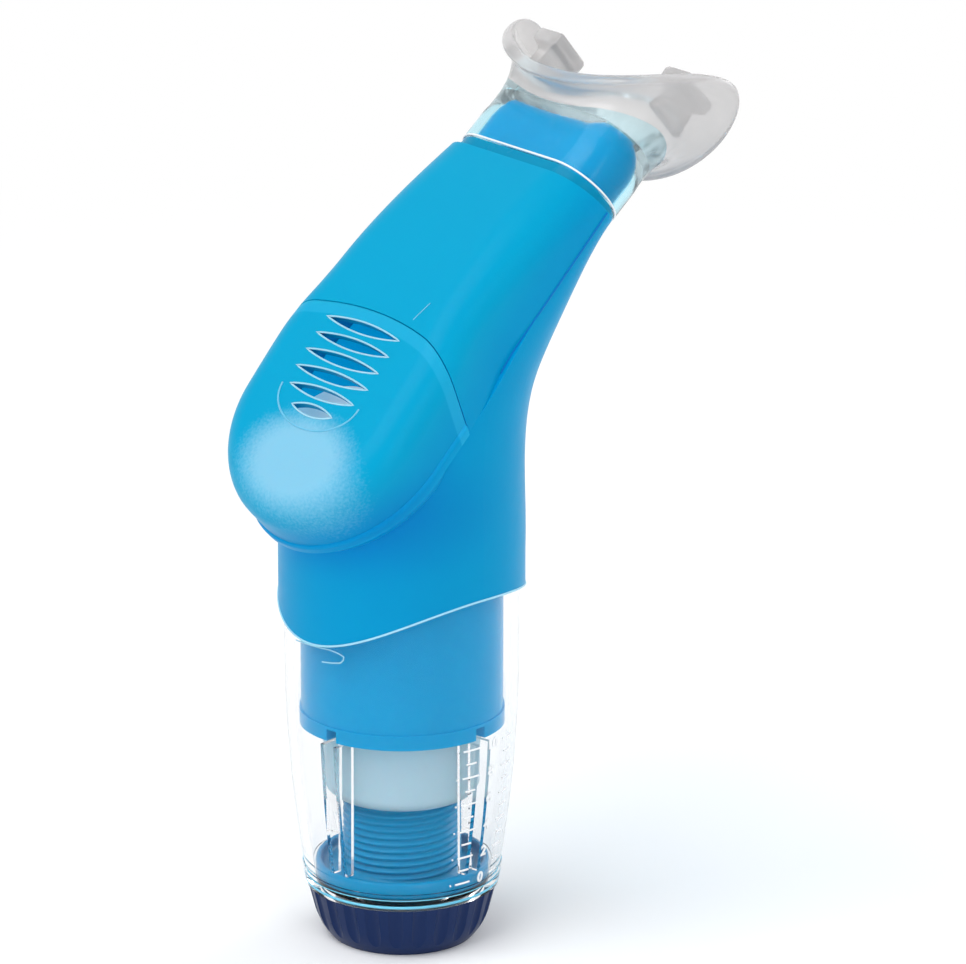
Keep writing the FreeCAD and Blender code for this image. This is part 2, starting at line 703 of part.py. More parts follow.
def make_nut():
    """The load nut: a round cup on the column, with keys for the guide channels."""
    bore = S.column_radius + S.thread_gap
    corner = S.nut_radius - S.nut_round
    cup = turned("nut_turned", (bore, S.nut_foot), [
        line(corner, S.nut_foot),
        arc(S.nut_radius, S.nut_foot + S.nut_round, corner, S.nut_foot + S.nut_round, 1),
        line(S.nut_radius, nut_high),
        line(bore, nut_high),
        line(bore, S.nut_foot),
    ])
    keys = [
        spoke(f"nut_key_{number}", angle, S.nut_radius - PAST, S.nut_key_tip, 0, S.nut_key_width,
              nut_high - S.nut_key_height, nut_high)
        for number, angle in enumerate(around(S.channel_count, S.channel_turn), 1)
    ]
    return fuse("nut_keyed", cup, *keys)


def make_spring():
    """Wire coiled between the nut's seat and the poppet's plate, its section a regular polygon."""
    clearance = S.spring_wire / 2 + S.rest_gap
    low = nut_high + clearance
    height = poppet_low - clearance - low
    helix = doc.addObject("Part::Helix", "spring_path")
    helix.Style = "New style"
    helix.SegmentLength = 0
    bind(helix, {"Radius": S.spring_radius, "Height": height, "Pitch": height / S.spring_turns})
    put(helix, z=low)
    wire = doc.addObject("Part::RegularPolygon", "spring_section")
    wire.Polygon = WIRE_SIDES
    bind(wire, {"Circumradius": S.spring_wire / 2})
    wire.Placement = Placement(
        Vector(S.spring_radius.value, 0, low.value), Rotation(Vector(1, 0, 0), 90)
    )
    bind(wire, {"Placement.Base.x": S.spring_radius, "Placement.Base.z": low})
    coil = doc.addObject("Part::Sweep", "spring_coil")
    coil.Sections = [wire]
    coil.Spine = helix
    coil.Solid = True
    coil.Frenet = True
    return coil


def make_poppet():
    """The inhale valve's plate, with a collar inside the spring and four guide wings."""
    collar_outer = S.spring_radius - S.spring_wire / 2 - S.spring_gap
    collar_inner = collar_outer - S.poppet_collar_wall
    plate = turned("poppet_plate", (0, poppet_low), [
        line(collar_inner, poppet_low),
        line(collar_inner, poppet_low - S.poppet_collar_height),
        line(collar_outer, poppet_low - S.poppet_collar_height),
        line(collar_outer, poppet_low),
        line(S.poppet_radius, poppet_low),
        line(S.poppet_radius, seal_low),
        line(0, seal_low),
        line(0, poppet_low),
    ])
    tip = S.barrel_bore - S.poppet_wing_gap
    leg = S.spring_radius + S.spring_wire / 2 + S.spring_gap * 2
    pieces = []
    for number, angle in enumerate(around(S.poppet_wing_count, S.poppet_wing_turn), 1):
        pieces.append(spoke(f"poppet_arm_{number}", angle, S.poppet_radius - PAST, tip, 0,
                            S.poppet_wing_width, poppet_low, seal_low))
        pieces.append(spoke(f"poppet_leg_{number}", angle, leg, tip, 0,
                            S.poppet_wing_width, seal_low - S.poppet_wing_height, seal_low))
    return fuse("poppet_winged", plate, *pieces)


# Main body: a cylinder that bends into the handle, below the sloping seam

fan = dim(90) - S.seam_tilt
fan_rise = seam_height - elbow_fan
pivot_y = (S.handle_length + fan_rise * sine(S.seam_tilt)) / cosine(S.seam_tilt)
seam_reach = pivot_y * sine(S.seam_tilt) + fan_rise * cosine(S.seam_tilt)

# Sections of the elbow, and the share of its bend in which the body narrows to the handle
ELBOW_STEPS = 5
FADE_START = 0.2
FADE_SPAN = 0.5


def ellipse(name, half_width, half_depth, frame):
    """An ellipse in a frame's xy plane; it must be at least as wide as deep."""
    item = doc.addObject("Part::Ellipse", name)
    bind(item, {"MajorRadius": half_width, "MinorRadius": lesser(half_depth, half_width)})
    return put(item, frame)


# Rounded share of the nose flange's depth and of the bead's height, and a reach from their faces
FLANGE_ROUND = 0.7
BEAD_ROUND = 0.45
SHARP = 0.1


def elbow(name, inset):
    """The round body and its handle as one loft, through sections fanned about a far pivot."""
    sections = [ellipse(f"{name}_foot", S.body_radius - inset, S.body_radius - inset,
                        Frame(0, elbow_start, 0))]
    under_start = pivot_y - S.body_radius
    under_end = seam_reach - S.handle_depth
    for step in range(ELBOW_STEPS + 1):
        share = step / ELBOW_STEPS
        angle = fan * share
        on_axis = pivot_y / cosine(angle)
        on_seam = seam_reach / cosine(fan - angle)
        middle = lesser(on_axis, on_seam)
        under = under_start + (under_end - under_start) * share * share
        fade = min(max((share - FADE_START) / FADE_SPAN, 0), 1)
        blend = fade * fade * (3 - 2 * fade)
        half_width = S.body_radius + (S.handle_half_width - S.body_radius) * blend
        frame = Frame(pivot_y - middle * cosine(angle), elbow_fan + middle * sine(angle), -angle)
        sections.append(ellipse(f"{name}_{step}", half_width - inset, middle - under - inset, frame))
    loft = doc.addObject("Part::Loft", name)
    loft.Sections = sections
    loft.Solid = True
    loft.Ruled = False
    return loft


def above_seam(name):
    far = dim(FAR)
    return block(name, (-far, -far, dim(0)), (far, far, far), SEAM)


def before_place(name, place):
    """Everything below the seam on the nose side of a place along it."""
    far = dim(FAR)
    return block(name, (-far, -far, -far), (far, place, far), SEAM)


def cover_outline(name, inset, end):
    """The covers' plan in the seam: a round nose, flanks that narrow in an S, a straight handle."""
    nose = S.nose_radius - inset
    narrow = S.handle_half_width - inset
    drop = (S.nose_radius - S.handle_half_width) / 2
    run = (S.waist_end + S.waist_start) / 2
    bend = (run * run + drop * drop) / (drop * 2)
    middle = (S.waist_end - S.waist_start) / 2
    waist = (nose + narrow) / 2
    sketch = flat_sketch(name)
    draw(sketch, (-nose, -S.nose_reach), [
        arc(nose, -S.nose_reach, 0, -S.nose_reach, 1),
        line(nose, -S.waist_start),
        arc(waist, middle, nose - bend, -S.waist_start, 1),
        arc(narrow, S.waist_end, narrow + bend, S.waist_end, -1),
        line(narrow, end),
        line(-narrow, end),
        line(-narrow, S.waist_end),
        arc(-waist, middle, -narrow - bend, S.waist_end, -1),
        arc(-nose, -S.waist_start, -nose + bend, -S.waist_start, 1),
        line(-nose, -S.nose_reach),
    ])
    return sketch


def cover_block(name, inset, low, end):
    """A solid of the covers' form in the seam's own axes, all faces moved inwards by inset."""
    plan = extrude(name + "_plan", cover_outline(name + "_outline", inset, end), dim(FAR), True)
    front = S.nose_radius + S.nose_reach + OVERLAP
    high = S.crown_height - inset
    front_radius = S.crown_front_radius - inset
    front_run = front + S.crown_place
    front_high = high - front_radius + root(front_radius * front_radius - front_run * front_run)
    fall = S.crown_height - S.handle_rise
    run = S.handle_length - S.crown_place
    rear_radius = (run * run + fall * fall) / (fall * 2) - inset
    rear_run = end - S.crown_place
    rear_high = high - rear_radius + root(rear_radius * rear_radius - rear_run * rear_run)
    side = side_sketch(name + "_side")
    draw(side, (-front, low), [
        line(end, low),
        line(end, rear_high),
        arc(S.crown_place, high, S.crown_place, high - rear_radius, 1),
        arc(-front, front_high, S.crown_place, high - front_radius, 1),
        line(-front, low),
    ])
    profile = extrude(name + "_profile", side, dim(FAR), True)
    solid = common(name + "_square", plan, profile)
    limit = end.value - 0.5
    return round_edges(
        name, solid, S.rim_round - inset,
        lambda middle: middle.z > 3 and middle.y < limit and (abs(middle.x) > 5 or middle.y < -20),
    )


def split_tool(name, beyond=0):
    """The region of the vent cover: in front of a leaning arc, moved on by beyond."""
    item = doc.addObject("Part::Cylinder", name)
    bind(item, {"Radius": S.split_radius + beyond, "Height": FAR})
    frame = Frame(S.split_place, S.crown_height, -S.split_tilt)
    return put(item, frame, y=-S.split_radius, z=-FAR / 2)


def vent_slots(name):
    """Lens shaped slots in rows across the nose, shorter where the field's end is round."""
    sketch = flat_sketch(name + "_outline")
    for number in range(number_of(S.slot_count)):
        place = S.slot_first - S.slot_pitch * number
        past = -S.vent_turn - place
        if past.value > 0:
            half = root(S.vent_half_width * S.vent_half_width - past * past)
        else:
            half = S.vent_half_width
        rise = S.slot_width / 2
        reach = (half * half - rise * rise) / (rise * 2)
        draw(sketch, (-half, place), [
            arc(half, place, 0, place + reach, 1),
            arc(-half, place, 0, place - reach, 1),
        ])
    tool = extrude(name, sketch, dim(30))
    return put(tool, z=S.crown_height - 8)


def rounded_plate(name, inset, end, depth, share):
    """A plate of the covers' plan below the seam, its lower edge rounded by a share of its depth."""
    plate = put(extrude(name + "_square", cover_outline(name + "_outline", inset, end), depth), z=-depth)
    low = -depth.value + SHARP
    limit = end.value - PAST
    return round_edges(name, plate, depth * share,
                       lambda middle: middle.z < low and middle.y < limit)


def make_main_body():
    """Skirt, elbow and nose flange in one shell, open at the seam, with an end wall."""
    skirt = cylinder("skirt_outer", S.body_radius, elbow_start - skirt_front + OVERLAP,
                     z=skirt_front - OVERLAP)
    outer = cut("body_outer", fuse("body_solid", skirt, elbow("elbow_outer", dim(0))),
                above_seam("seam_cut"))
    bore = cylinder("skirt_bore", skirt_bore, S.shoulder_height - skirt_front + 2 * OVERLAP,
                    z=skirt_front - 2 * OVERLAP)
    inside = common("elbow_inside", elbow("elbow_inner", S.body_wall),
                    before_place("end_wall_cut", S.handle_length - S.body_wall))
    shell = cut("body_shell", outer, inside)
    plate = rounded_plate("flange_plate", S.flange_inset, S.bulkhead_place + S.deck_thickness,
                          S.flange_depth, FLANGE_ROUND)
    hole_plan = cover_outline("ledge_outline", S.flange_inset + S.flange_ledge,
                              S.bulkhead_place + S.deck_thickness * 3)
    hole = put(extrude("ledge_square", hole_plan, 2 * S.nose_radius, True), z=0)
    put(plate, SEAM)
    put(hole, SEAM)
    flange = cut("nose_flange", plate, common("ledge_hole", hole, inside))
    edge = S.body_radius + OVERLAP
    front = arch("skirt_arch_front", S.skirt_front - S.skirt_side, -edge, dim(0))
    rear = arch("skirt_arch_rear", S.skirt_rear - S.skirt_side, dim(0), edge)
    opening = spigot_opening("body_opening")
    return cut("body_cut", fuse("body_flanged", shell, flange), bore, front, rear, opening)


def arch(name, rise, low_y, high_y):
    """A cylinder along X, on one side of the axis, that cuts the skirt's edge to an arch."""
    half = S.body_radius
    radius = (half * half + rise * rise) / (rise * 2)
    across = half + OVERLAP
    bar = doc.addObject("Part::Cylinder", name + "_bar")
    bind(bar, {"Radius": radius, "Height": across * 2})
    centre = skirt_side - radius
    bar.Placement = Placement(Vector(-across.value, 0, centre.value), Rotation(Vector(0, 1, 0), 90))
    bind(bar, {"Placement.Base.x": -across, "Placement.Base.z": centre})
    side = block(name + "_side", (-across, low_y, skirt_front - 2 * OVERLAP),
                 (across, high_y, S.shoulder_height))
    return common(name, bar, side)


COLLAR_OUT = Frame(COLLAR.y, COLLAR.z, S.collar_tilt - 90)


def oval(name, half_width, half_depth, frame=AXIS, z=0):
    """A stadium outline in a frame's xy plane."""
    sketch = flat_sketch(name)
    flat = half_width - half_depth
    draw(sketch, (-flat, -half_depth), [
        line(flat, -half_depth),
        arc(flat, half_depth, flat, 0, 1),
        line(-flat, half_depth),
        arc(-flat, -half_depth, -flat, 0, 1),
    ])
    return put(sketch, frame, z=z)


def oval_bar(name, half_width, half_depth, low, high):
    """A stadium bar along Z."""
    bar = extrude(name, oval(name + "_outline", half_width, half_depth), dim(high) - low)
    return put(bar, z=low)


spigot_half_width = S.collar_half_width - S.collar_wall - S.spigot_gap
spigot_half_depth = S.collar_half_depth - S.collar_wall - S.spigot_gap


def spigot_opening(name):
    """The hole in the handle's end wall that the spigot's root fits."""
    bar = oval_bar(name, spigot_half_width + S.rest_gap, spigot_half_depth + S.rest_gap,
                   -S.spigot_root, S.spigot_root)
    return put(bar, COLLAR_OUT, z=-S.spigot_root)


def make_spigot():
    """An oval tube through the handle's end wall, with a flange against the handle's end."""
    low = -S.spigot_root
    tube = oval_bar("spigot_tube", spigot_half_width, spigot_half_depth, low, S.spigot_reach)
    rim_low = -2 * S.spigot_flange
    rim = oval_bar("spigot_rim", S.collar_half_width - S.spigot_gap, S.collar_half_depth - S.spigot_gap,
                   rim_low, S.spigot_flange)
    bore = oval_bar("spigot_bore", spigot_half_width - S.spigot_wall,
                    spigot_half_depth - S.spigot_wall, low - PAST, S.spigot_reach + PAST)
    put(tube, COLLAR_OUT, z=low)
    put(rim, COLLAR_OUT, z=rim_low)
    put(bore, COLLAR_OUT, z=low - PAST)
    flange = cut("spigot_flange", rim, before_place("spigot_face", S.handle_length))
    return cut("spigot_hollow", fuse("spigot_solid", tube, flange), bore)


def make_covers():
    """The removable vent cover and the fixed top shell, parted by a leaning arc."""
    over = S.handle_length + PAST
    form = cover_block("cover_form", dim(0), dim(0), S.handle_length)
    hollow = cover_block("shell_hollow", S.cover_wall, dim(-1), S.handle_length - S.cover_wall)
    vent_hollow = cover_block("vent_hollow", S.vent_wall, dim(-1), S.handle_length - S.cover_wall)
    shell = cut("top_shell_whole", form, hollow)
    rear = cut("top_shell_rear", shell, split_tool("split_rear", S.split_gap))
    lip_hollow = cover_block("lip_hollow", S.cover_wall + S.lip_thickness, dim(-1), over)
    far = dim(FAR)
    lip_room = block("lip_room", (-far, -far, S.deck_thickness + S.lip_gap), (far, far, far))
    lip_zone = cut("lip_zone", split_tool("lip_front", S.lip_width), split_tool("lip_back", -S.lip_width))
    lip = common("lip", cut("lip_shell", hollow, lip_hollow), lip_zone, lip_room)
    opening = spigot_opening("shell_opening_seam")
    top = put(fuse("top_shell_lipped", rear, lip), SEAM)
    top = cut("top_shell_open", top, opening)
    bead_end = S.waist_end + OVERLAP
    bead_plan = cover_outline("bead_outline", -S.rim_bead_depth, bead_end)
    bead = extrude("bead_square", bead_plan, S.rim_bead_height)
    bead_top = S.rim_bead_height.value - SHARP
    bead_limit = bead_end.value - PAST
    bead = round_edges("bead", bead, S.rim_bead_height * BEAD_ROUND,
                       lambda middle: middle.z > bead_top and middle.y < bead_limit)
    vent = cut("vent_hollowed", fuse("vent_solid", form, bead), vent_hollow, vent_slots("vent_slots"))
    vent = common("vent_front", vent, split_tool("split_front"))
    return top, put(vent, SEAM)


def make_deck():
    """The plate between the vent chamber and the mouth side, with a bulkhead at its rear."""
    inset = S.cover_wall + S.deck_gap
    rear = S.bulkhead_place + S.deck_thickness
    room = cover_block("deck_room", inset, dim(0), S.handle_length)
    far = dim(FAR)
    plate = block("deck_plate", (-far, -far, dim(0)), (far, rear, S.deck_thickness))
    bulkhead = block("deck_bulkhead", (-far, S.bulkhead_place, dim(0)), (far, rear, far))
    solid = common("deck_solid", room, fuse("deck_planes", plate, bulkhead))
    inlet = cylinder("deck_inlet", S.duct_bore, 2 * OVERLAP, y=S.duct_place, z=-OVERLAP)
    exhale = cylinder("deck_exhale", S.exhale_radius - S.exhale_wall, 2 * OVERLAP,
                      y=-S.exhale_place, z=-OVERLAP)
    return put(cut("deck_cut", solid, inlet, exhale), SEAM)


def duct_bar(name, radius, low_end, high_end):
    """A round bar from the poppet's seat, upright, to the deck's underside, square to it."""
    sections = []
    places = [
        (AXIS, 0, seat_height - low_end),
        (AXIS, 0, seat_height + S.duct_upright),
        (SEAM, S.duct_place, -S.duct_head),
        (SEAM, S.duct_place, dim(high_end)),
    ]
    for number, (frame, y, z) in enumerate(places, 1):
        circle = doc.addObject("Part::Circle", f"{name}_{number}")
        bind(circle, {"Radius": radius})
        sections.append(put(circle, frame, y=y, z=z))
    loft = doc.addObject("Part::Loft", name)
    loft.Sections = sections
    loft.Solid = True
    loft.Ruled = True
    return loft


def make_duct():
    """The bent inlet duct; its lower mouth is the seat that the poppet closes."""
    tube = duct_bar("duct_tube", S.duct_bore + S.duct_wall, dim(0), dim(0))
    flange = cylinder("duct_flange", S.duct_bore + S.duct_wall + S.duct_flange, S.deck_thickness,
                      SEAM, y=S.duct_place, z=-S.deck_thickness)
    bore = duct_bar("duct_hollow", S.duct_bore, dim(PAST), dim(PAST))
    return cut("duct_cut", fuse("duct_solid", tube, flange), bore)


def make_exhale_seat():
    """The white exhale seat: a short tube with a foot ring, spokes and a hub."""
    foot = S.exhale_radius + S.exhale_foot
    inner = S.exhale_radius - S.exhale_wall
    grid_low = S.exhale_height - S.exhale_wall
    ring = turned("seat_ring", (inner, 0), [
        line(foot, 0),
        line(foot, S.exhale_foot_height),
        line(S.exhale_radius, S.exhale_foot_height),
        line(S.exhale_radius, S.exhale_height),
        line(inner, S.exhale_height),
        line(inner, 0),
    ])
    hub = cylinder("seat_hub", S.exhale_hub, S.exhale_wall, z=grid_low)
    spokes = [
        spoke(f"seat_spoke_{number}", angle, S.exhale_hub / 2, inner + S.exhale_wall / 2, 0,
              S.exhale_wall, grid_low, S.exhale_height)
        for number, angle in enumerate(around(S.exhale_spokes), 1)
    ]
    hole = cylinder("seat_hole", S.stud_radius + S.rest_gap, 2 * OVERLAP, z=-OVERLAP)
    solid = cut("seat_cut", fuse("seat_solid", ring, hub, *spokes), hole)
    return put(solid, SEAM, y=-S.exhale_place, z=S.deck_thickness)


def make_flap():
    low = S.exhale_height + S.rest_gap
    disc = cylinder("flap_disc", S.flap_radius, S.flap_thickness, z=low)
    hole = cylinder("flap_hole", S.stud_radius + S.turn_gap, 2 * OVERLAP, z=low - OVERLAP)
    return put(cut("flap_cut", disc, hole), SEAM, y=-S.exhale_place, z=S.deck_thickness)


def make_stud():
    """The stud that holds the flap: a barb under the hub and a head above the lift."""
    barb_high = S.exhale_height - S.exhale_wall
    head_low = S.exhale_height + S.flap_thickness + S.exhale_lift + S.turn_gap
    barb_low = barb_high - S.stud_barb_height
    barb = S.stud_radius + S.stud_barb
    stud = turned("stud_turned", (0, barb_low), [
        line(barb, barb_low),
        line(barb, barb_high),
        line(S.stud_radius, barb_high),
        line(S.stud_radius, head_low),
        line(S.stud_head_radius, head_low),
        line(S.stud_head_radius, head_low + S.stud_head_height),
        line(0, head_low + S.stud_head_height),
        line(0, barb_low),
    ])
    return put(stud, SEAM, y=-S.exhale_place, z=S.deck_thickness)


# Mouthpiece, in axes whose z runs out along the collar and whose y runs to its underside


def shield_face(name, inset):
    """An upright elliptical bar through the shield."""
    wire = doc.addObject("Part::Ellipse", name + "_outline")
    bind(wire, {"MajorRadius": S.shield_half_width - inset, "MinorRadius": S.shield_half_height - inset})
    return put(extrude(name, wire, S.shield_bow), z=S.flare_start)


def shield_bend(name, bow, middle):
    """A bar along y that bends the shield round the teeth; middle is the place of its nearest line."""
    item = doc.addObject("Part::Cylinder", name)
    bind(item, {"Radius": bow, "Height": FAR})
    centre = middle + bow
    item.Placement = Placement(Vector(0, FAR / 2, centre.value), Rotation(Vector(1, 0, 0), 90))
    bind(item, {"Placement.Base.z": centre})
    return item


def shield_sheet(name, thickness):
    """A sheet of that thickness, bent about the middle of the mouth."""
    half = thickness / 2
    outer = shield_bend(name + "_outer", S.shield_bow + half, S.shield_place - half)
    inner = shield_bend(name + "_inner", S.shield_bow - half, S.shield_place + half)
    return cut(name, outer, inner)


def make_flare(name, inset, low):
    """The trumpet between collar and shield: an oval that widens in a curve."""
    half_width = S.collar_half_width - inset
    half_depth = S.collar_half_depth - inset
    ends = [
        (half_width, half_depth, low),
        (half_width, half_depth, S.flare_start),
        (S.flare_width - inset, S.flare_depth - inset, S.shield_place + S.shield_thickness),
    ]
    sections = [
        oval(f"{name}_{number}", width, depth, z=place)
        for number, (width, depth, place) in enumerate(ends, 1)
    ]
    loft = doc.addObject("Part::Loft", name)
    loft.Sections = sections
    loft.Solid = True
    loft.Ruled = True
    return loft


def make_bite_block(side, way):
    """A stalk behind the shield with a rounded lug that the teeth hold."""
    centre = S.bite_place * way
    tip = S.shield_place + S.bite_reach
    foot = S.shield_place + S.shield_thickness
    half = S.bite_width / 2
    half_lug = S.bite_lug / 2
    half_height = S.bite_height / 2
    half_lug_height = S.bite_lug_height / 2
    stalk = block(f"bite_stalk_{side}", (centre - half, -half_height, foot),
                  (centre + half, half_height, tip))
    lug = block(f"bite_lug_{side}", (centre - half_lug, -half_lug_height, tip - S.bite_lug_length),
                (centre + half_lug, half_lug_height, tip))
    return fuse(f"bite_block_{side}", stalk,
                round_edges(f"bite_lug_round_{side}", lug, S.bite_round, lambda middle: True))


def make_mouthpiece():
    """Soft flared collar, bent shield with a bead round its edge, two bite blocks, the airway."""
    low = S.spigot_flange + S.collar_gap
    flare = make_flare("mouth_flare", dim(0), low)
    room = make_flare("mouth_flare_room", S.collar_wall, low - PAST)
    face = shield_face("shield_face", dim(0))
    plate = common("shield", shield_sheet("shield_sheet", S.shield_thickness), face)
    bead = common("shield_bead", shield_sheet("bead_sheet", S.bead_thickness),
                  cut("bead_zone", face, shield_face("bead_inside", S.bead_width)))
    behind = shield_bend("flare_end", S.shield_bow, S.shield_place)
    neck = cut("mouth_neck", flare, behind)
    socket = oval_bar("mouth_socket", S.collar_half_width - S.collar_wall,
                      S.collar_half_depth - S.collar_wall, low - PAST, S.spigot_reach + S.tip_gap)
    airway = oval_bar("mouth_airway", S.bite_place - S.bite_width, S.collar_half_depth - S.airway_wall,
                      low - PAST, S.shield_place + S.shield_bow)
    blocks = [make_bite_block("left", -1), make_bite_block("right", 1)]
    solid = fuse("mouthpiece_solid", neck, plate, bead, *blocks)
    return put(cut("mouthpiece_cut", solid, socket, airway), COLLAR_OUT)


def make_all():
    """Every sub-part by its node's name."""
    top_shell, vent_cover = make_covers()
    knob_ring_height = dish_low - S.rest_gap - S.ring_section / 2
    sleeve_ring_radius = skirt_bore - S.ring_gap - S.ring_section / 2 + S.rest_gap
    seal = cylinder("seal_disc", S.seal_radius, S.seal_thickness, z=seal_low)
    return {
        "knob": make_knob(),
        "thread_column": make_column(),
        "column_screw": make_column_screw(),
        "column_o_ring": make_ring("column_o_ring_turned", S.knob_ring_radius, knob_ring_height),
        "clear_sleeve": make_sleeve(),
        "sleeve_o_ring": make_ring("sleeve_o_ring_turned", sleeve_ring_radius, sleeve_high - S.groove_drop),
        "inner_barrel": make_barrel(),
        "load_nut": make_nut(),
        "load_spring": make_spring(),
        "inhale_poppet": make_poppet(),
        "poppet_seal": seal,
        "inlet_duct": make_duct(),
        "valve_deck": make_deck(),
        "exhale_seat": make_exhale_seat(),
        "exhale_flap": make_flap(),
        "flap_stud": make_stud(),
        "main_body": make_main_body(),
        "handle_top_shell": top_shell,
        "vent_cover": vent_cover,
        "mouth_spigot": make_spigot(),
        "mouthpiece": make_mouthpiece(),
    }


def main():
    parts = make_all()
    doc.recompute()
    for name, item in parts.items():
        item.Label = name
    for item in doc.Objects:
        if "Invalid" in item.State or "Error" in item.State:
            raise RuntimeError(f"{item.Label} did not compute: {item.State}")
    for name, item in parts.items():
        if item.Shape.isNull() or not item.Shape.isValid():
            raise RuntimeError(f"{name} has no valid shape")
    os.makedirs("parts", exist_ok=True)
    for name, item in parts.items():
        item.Shape.exportStep(f"parts/{name}.step")
        box = item.Shape.BoundBox
        print(f"{name}: {len(item.Shape.Solids)} solid, {item.Shape.Volume:.0f} mm3,"
              f" z {box.ZMin:.2f} to {box.ZMax:.2f}")


main()
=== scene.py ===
import math

import bmesh
import bpy
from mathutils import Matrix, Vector


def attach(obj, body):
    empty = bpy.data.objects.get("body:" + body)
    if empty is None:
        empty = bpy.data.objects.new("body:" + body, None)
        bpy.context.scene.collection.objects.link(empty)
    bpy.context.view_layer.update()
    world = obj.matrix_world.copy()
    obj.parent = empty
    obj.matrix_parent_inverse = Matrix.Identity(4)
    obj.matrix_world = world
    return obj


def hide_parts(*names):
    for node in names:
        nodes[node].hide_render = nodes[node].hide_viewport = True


# A spring loaded breathing trainer, dressed: moulded and clear plastics, the load column's thread,
# the raised scale, the top shell's sweep, the soft mouthpiece. Sizes are written in millimetres and
# degrees, and meshes are made in metres.

MM = 0.001

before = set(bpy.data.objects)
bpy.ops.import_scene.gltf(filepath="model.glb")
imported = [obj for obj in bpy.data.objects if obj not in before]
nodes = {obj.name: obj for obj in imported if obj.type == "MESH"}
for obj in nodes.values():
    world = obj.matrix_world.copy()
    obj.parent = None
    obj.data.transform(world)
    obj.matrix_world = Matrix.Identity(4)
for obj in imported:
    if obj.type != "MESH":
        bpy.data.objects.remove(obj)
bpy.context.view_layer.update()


# Sizes of the solids that the pieces here follow

SEAM_HEIGHT = 113.5
SEAM_TILT = 43.5
HANDLE_LENGTH = 47.8
HANDLE_HALF_WIDTH = 21.1
RIM_ROUND = 6.5
NOSE_RADIUS = 23.6
WAIST_START = -4.0
WAIST_END = 16.0
CROWN_HEIGHT = 16.7
CROWN_PLACE = 14.0
CROWN_FRONT_RADIUS = 375.0
REAR_START = 8.0
REAR_FALL = 5.75
REAR_ROUND = 9.3
COVER_WALL = 1.8
SPLIT_PLACE = 6.2
SPLIT_RADIUS = 80.0
SPLIT_TILT = 23.0
SPLIT_GAP = 0.25
SLOT_FIRST = 2.2
SLOT_PITCH = 3.8
SLOT_COUNT = 6
SLOT_WIDTH = 2.3
VENT_HALF_WIDTH = 10.5
VENT_TURN = 8.0

COLLAR_TILT = 39.0
COLLAR_ABOVE_SEAM = 1.0
COLLAR_HALF_WIDTH = 20.3
COLLAR_HALF_DEPTH = 9.3
COLLAR_WALL = 1.7
COLLAR_FOOT = 1.95
SOCKET_DEPTH = 15.0
AIRWAY_HALF_WIDTH = 16.0
AIRWAY_HALF_DEPTH = 6.7

SKIRT_RADIUS = 24.2
SHOULDER_HEIGHT = 88.5
SKIRT_SIDE = 13.0
SKIRT_FRONT = 22.5
SKIRT_REAR = 18.0

SLEEVE_FOOT_RADIUS = 18.8
SLEEVE_TOP_RADIUS = 23.1
SLEEVE_FOOT_HEIGHT = 11.05
SLEEVE_TOP_HEIGHT = 60.0

COLUMN_RADIUS = 11.85
COLUMN_BORE = 8.4
COLUMN_TOP = 52.0
COLUMN_FOOT = 10.9
COLUMN_HUB = 8.45
COLUMN_PILOT = 1.55
DISH_RADIUS = 17.2
DISH_WALL = 1.2
DISH_LOW = 12.8
DISH_FLOOR = 14.0
DISH_HIGH = 16.2
CHAMFER = 0.3


# Places


class Axes:
    """A place in the plane of symmetry with an up axis: points are x, along and out of it."""

    def __init__(self, y, z, tilt):
        self.origin = Vector((0, y, z))
        slope = math.radians(tilt)
        self.along = Vector((0, math.cos(slope), math.sin(slope)))
        self.out = Vector((0, -math.sin(slope), math.cos(slope)))

    def point(self, x, along, out):
        return self.origin + Vector((x, 0, 0)) + self.along * along + self.out * out


seam = Axes(0, SEAM_HEIGHT, SEAM_TILT)
split_foot = seam.point(0, SPLIT_PLACE, CROWN_HEIGHT)
split = Axes(split_foot.y, split_foot.z, SEAM_TILT - SPLIT_TILT)
collar_foot = seam.point(0, HANDLE_LENGTH, COLLAR_ABOVE_SEAM)
collar = Axes(collar_foot.y, collar_foot.z, COLLAR_TILT)


def arc_radius(run, drop):
    """Radius of an arc that falls by a drop over a run from its top."""
    return (run * run + drop * drop) / (2 * drop)


def arc_drop(radius, run):
    return radius - math.sqrt(radius * radius - run * run)


def sleeve_radius(height):
    """Outer radius of the clear sleeve at a height."""
    bow = arc_radius(SLEEVE_TOP_HEIGHT - SLEEVE_FOOT_HEIGHT, SLEEVE_TOP_RADIUS - SLEEVE_FOOT_RADIUS)
    return SLEEVE_TOP_RADIUS - arc_drop(bow, max(0.0, SLEEVE_TOP_HEIGHT - height))


def on_sleeve(angle, height, proud=0.0):
    """A point on the clear sleeve, by its angle from +X."""
    turn = math.radians(angle)
    radius = sleeve_radius(height) + proud
    return Vector((radius * math.cos(turn), radius * math.sin(turn), height))


def crown(along):
    """Height of the covers' top above the seam."""
    level = CROWN_HEIGHT - arc_drop(CROWN_FRONT_RADIUS, min(along, REAR_START) - CROWN_PLACE)
    if along > REAR_START:
        level -= arc_drop(arc_radius(HANDLE_LENGTH - REAR_START, REAR_FALL), along - REAR_START)
    return level


def covers_half_width(along):
    """Half width of the covers at the seam, behind the nose."""
    run = (WAIST_END - WAIST_START) / 2
    bend = arc_radius(run, (NOSE_RADIUS - HANDLE_HALF_WIDTH) / 2)
    if along < WAIST_START:
        return NOSE_RADIUS
    if along < WAIST_START + run:
        return NOSE_RADIUS - arc_drop(bend, along - WAIST_START)
    if along < WAIST_END:
        return HANDLE_HALF_WIDTH + arc_drop(bend, WAIST_END - along)
    return HANDLE_HALF_WIDTH


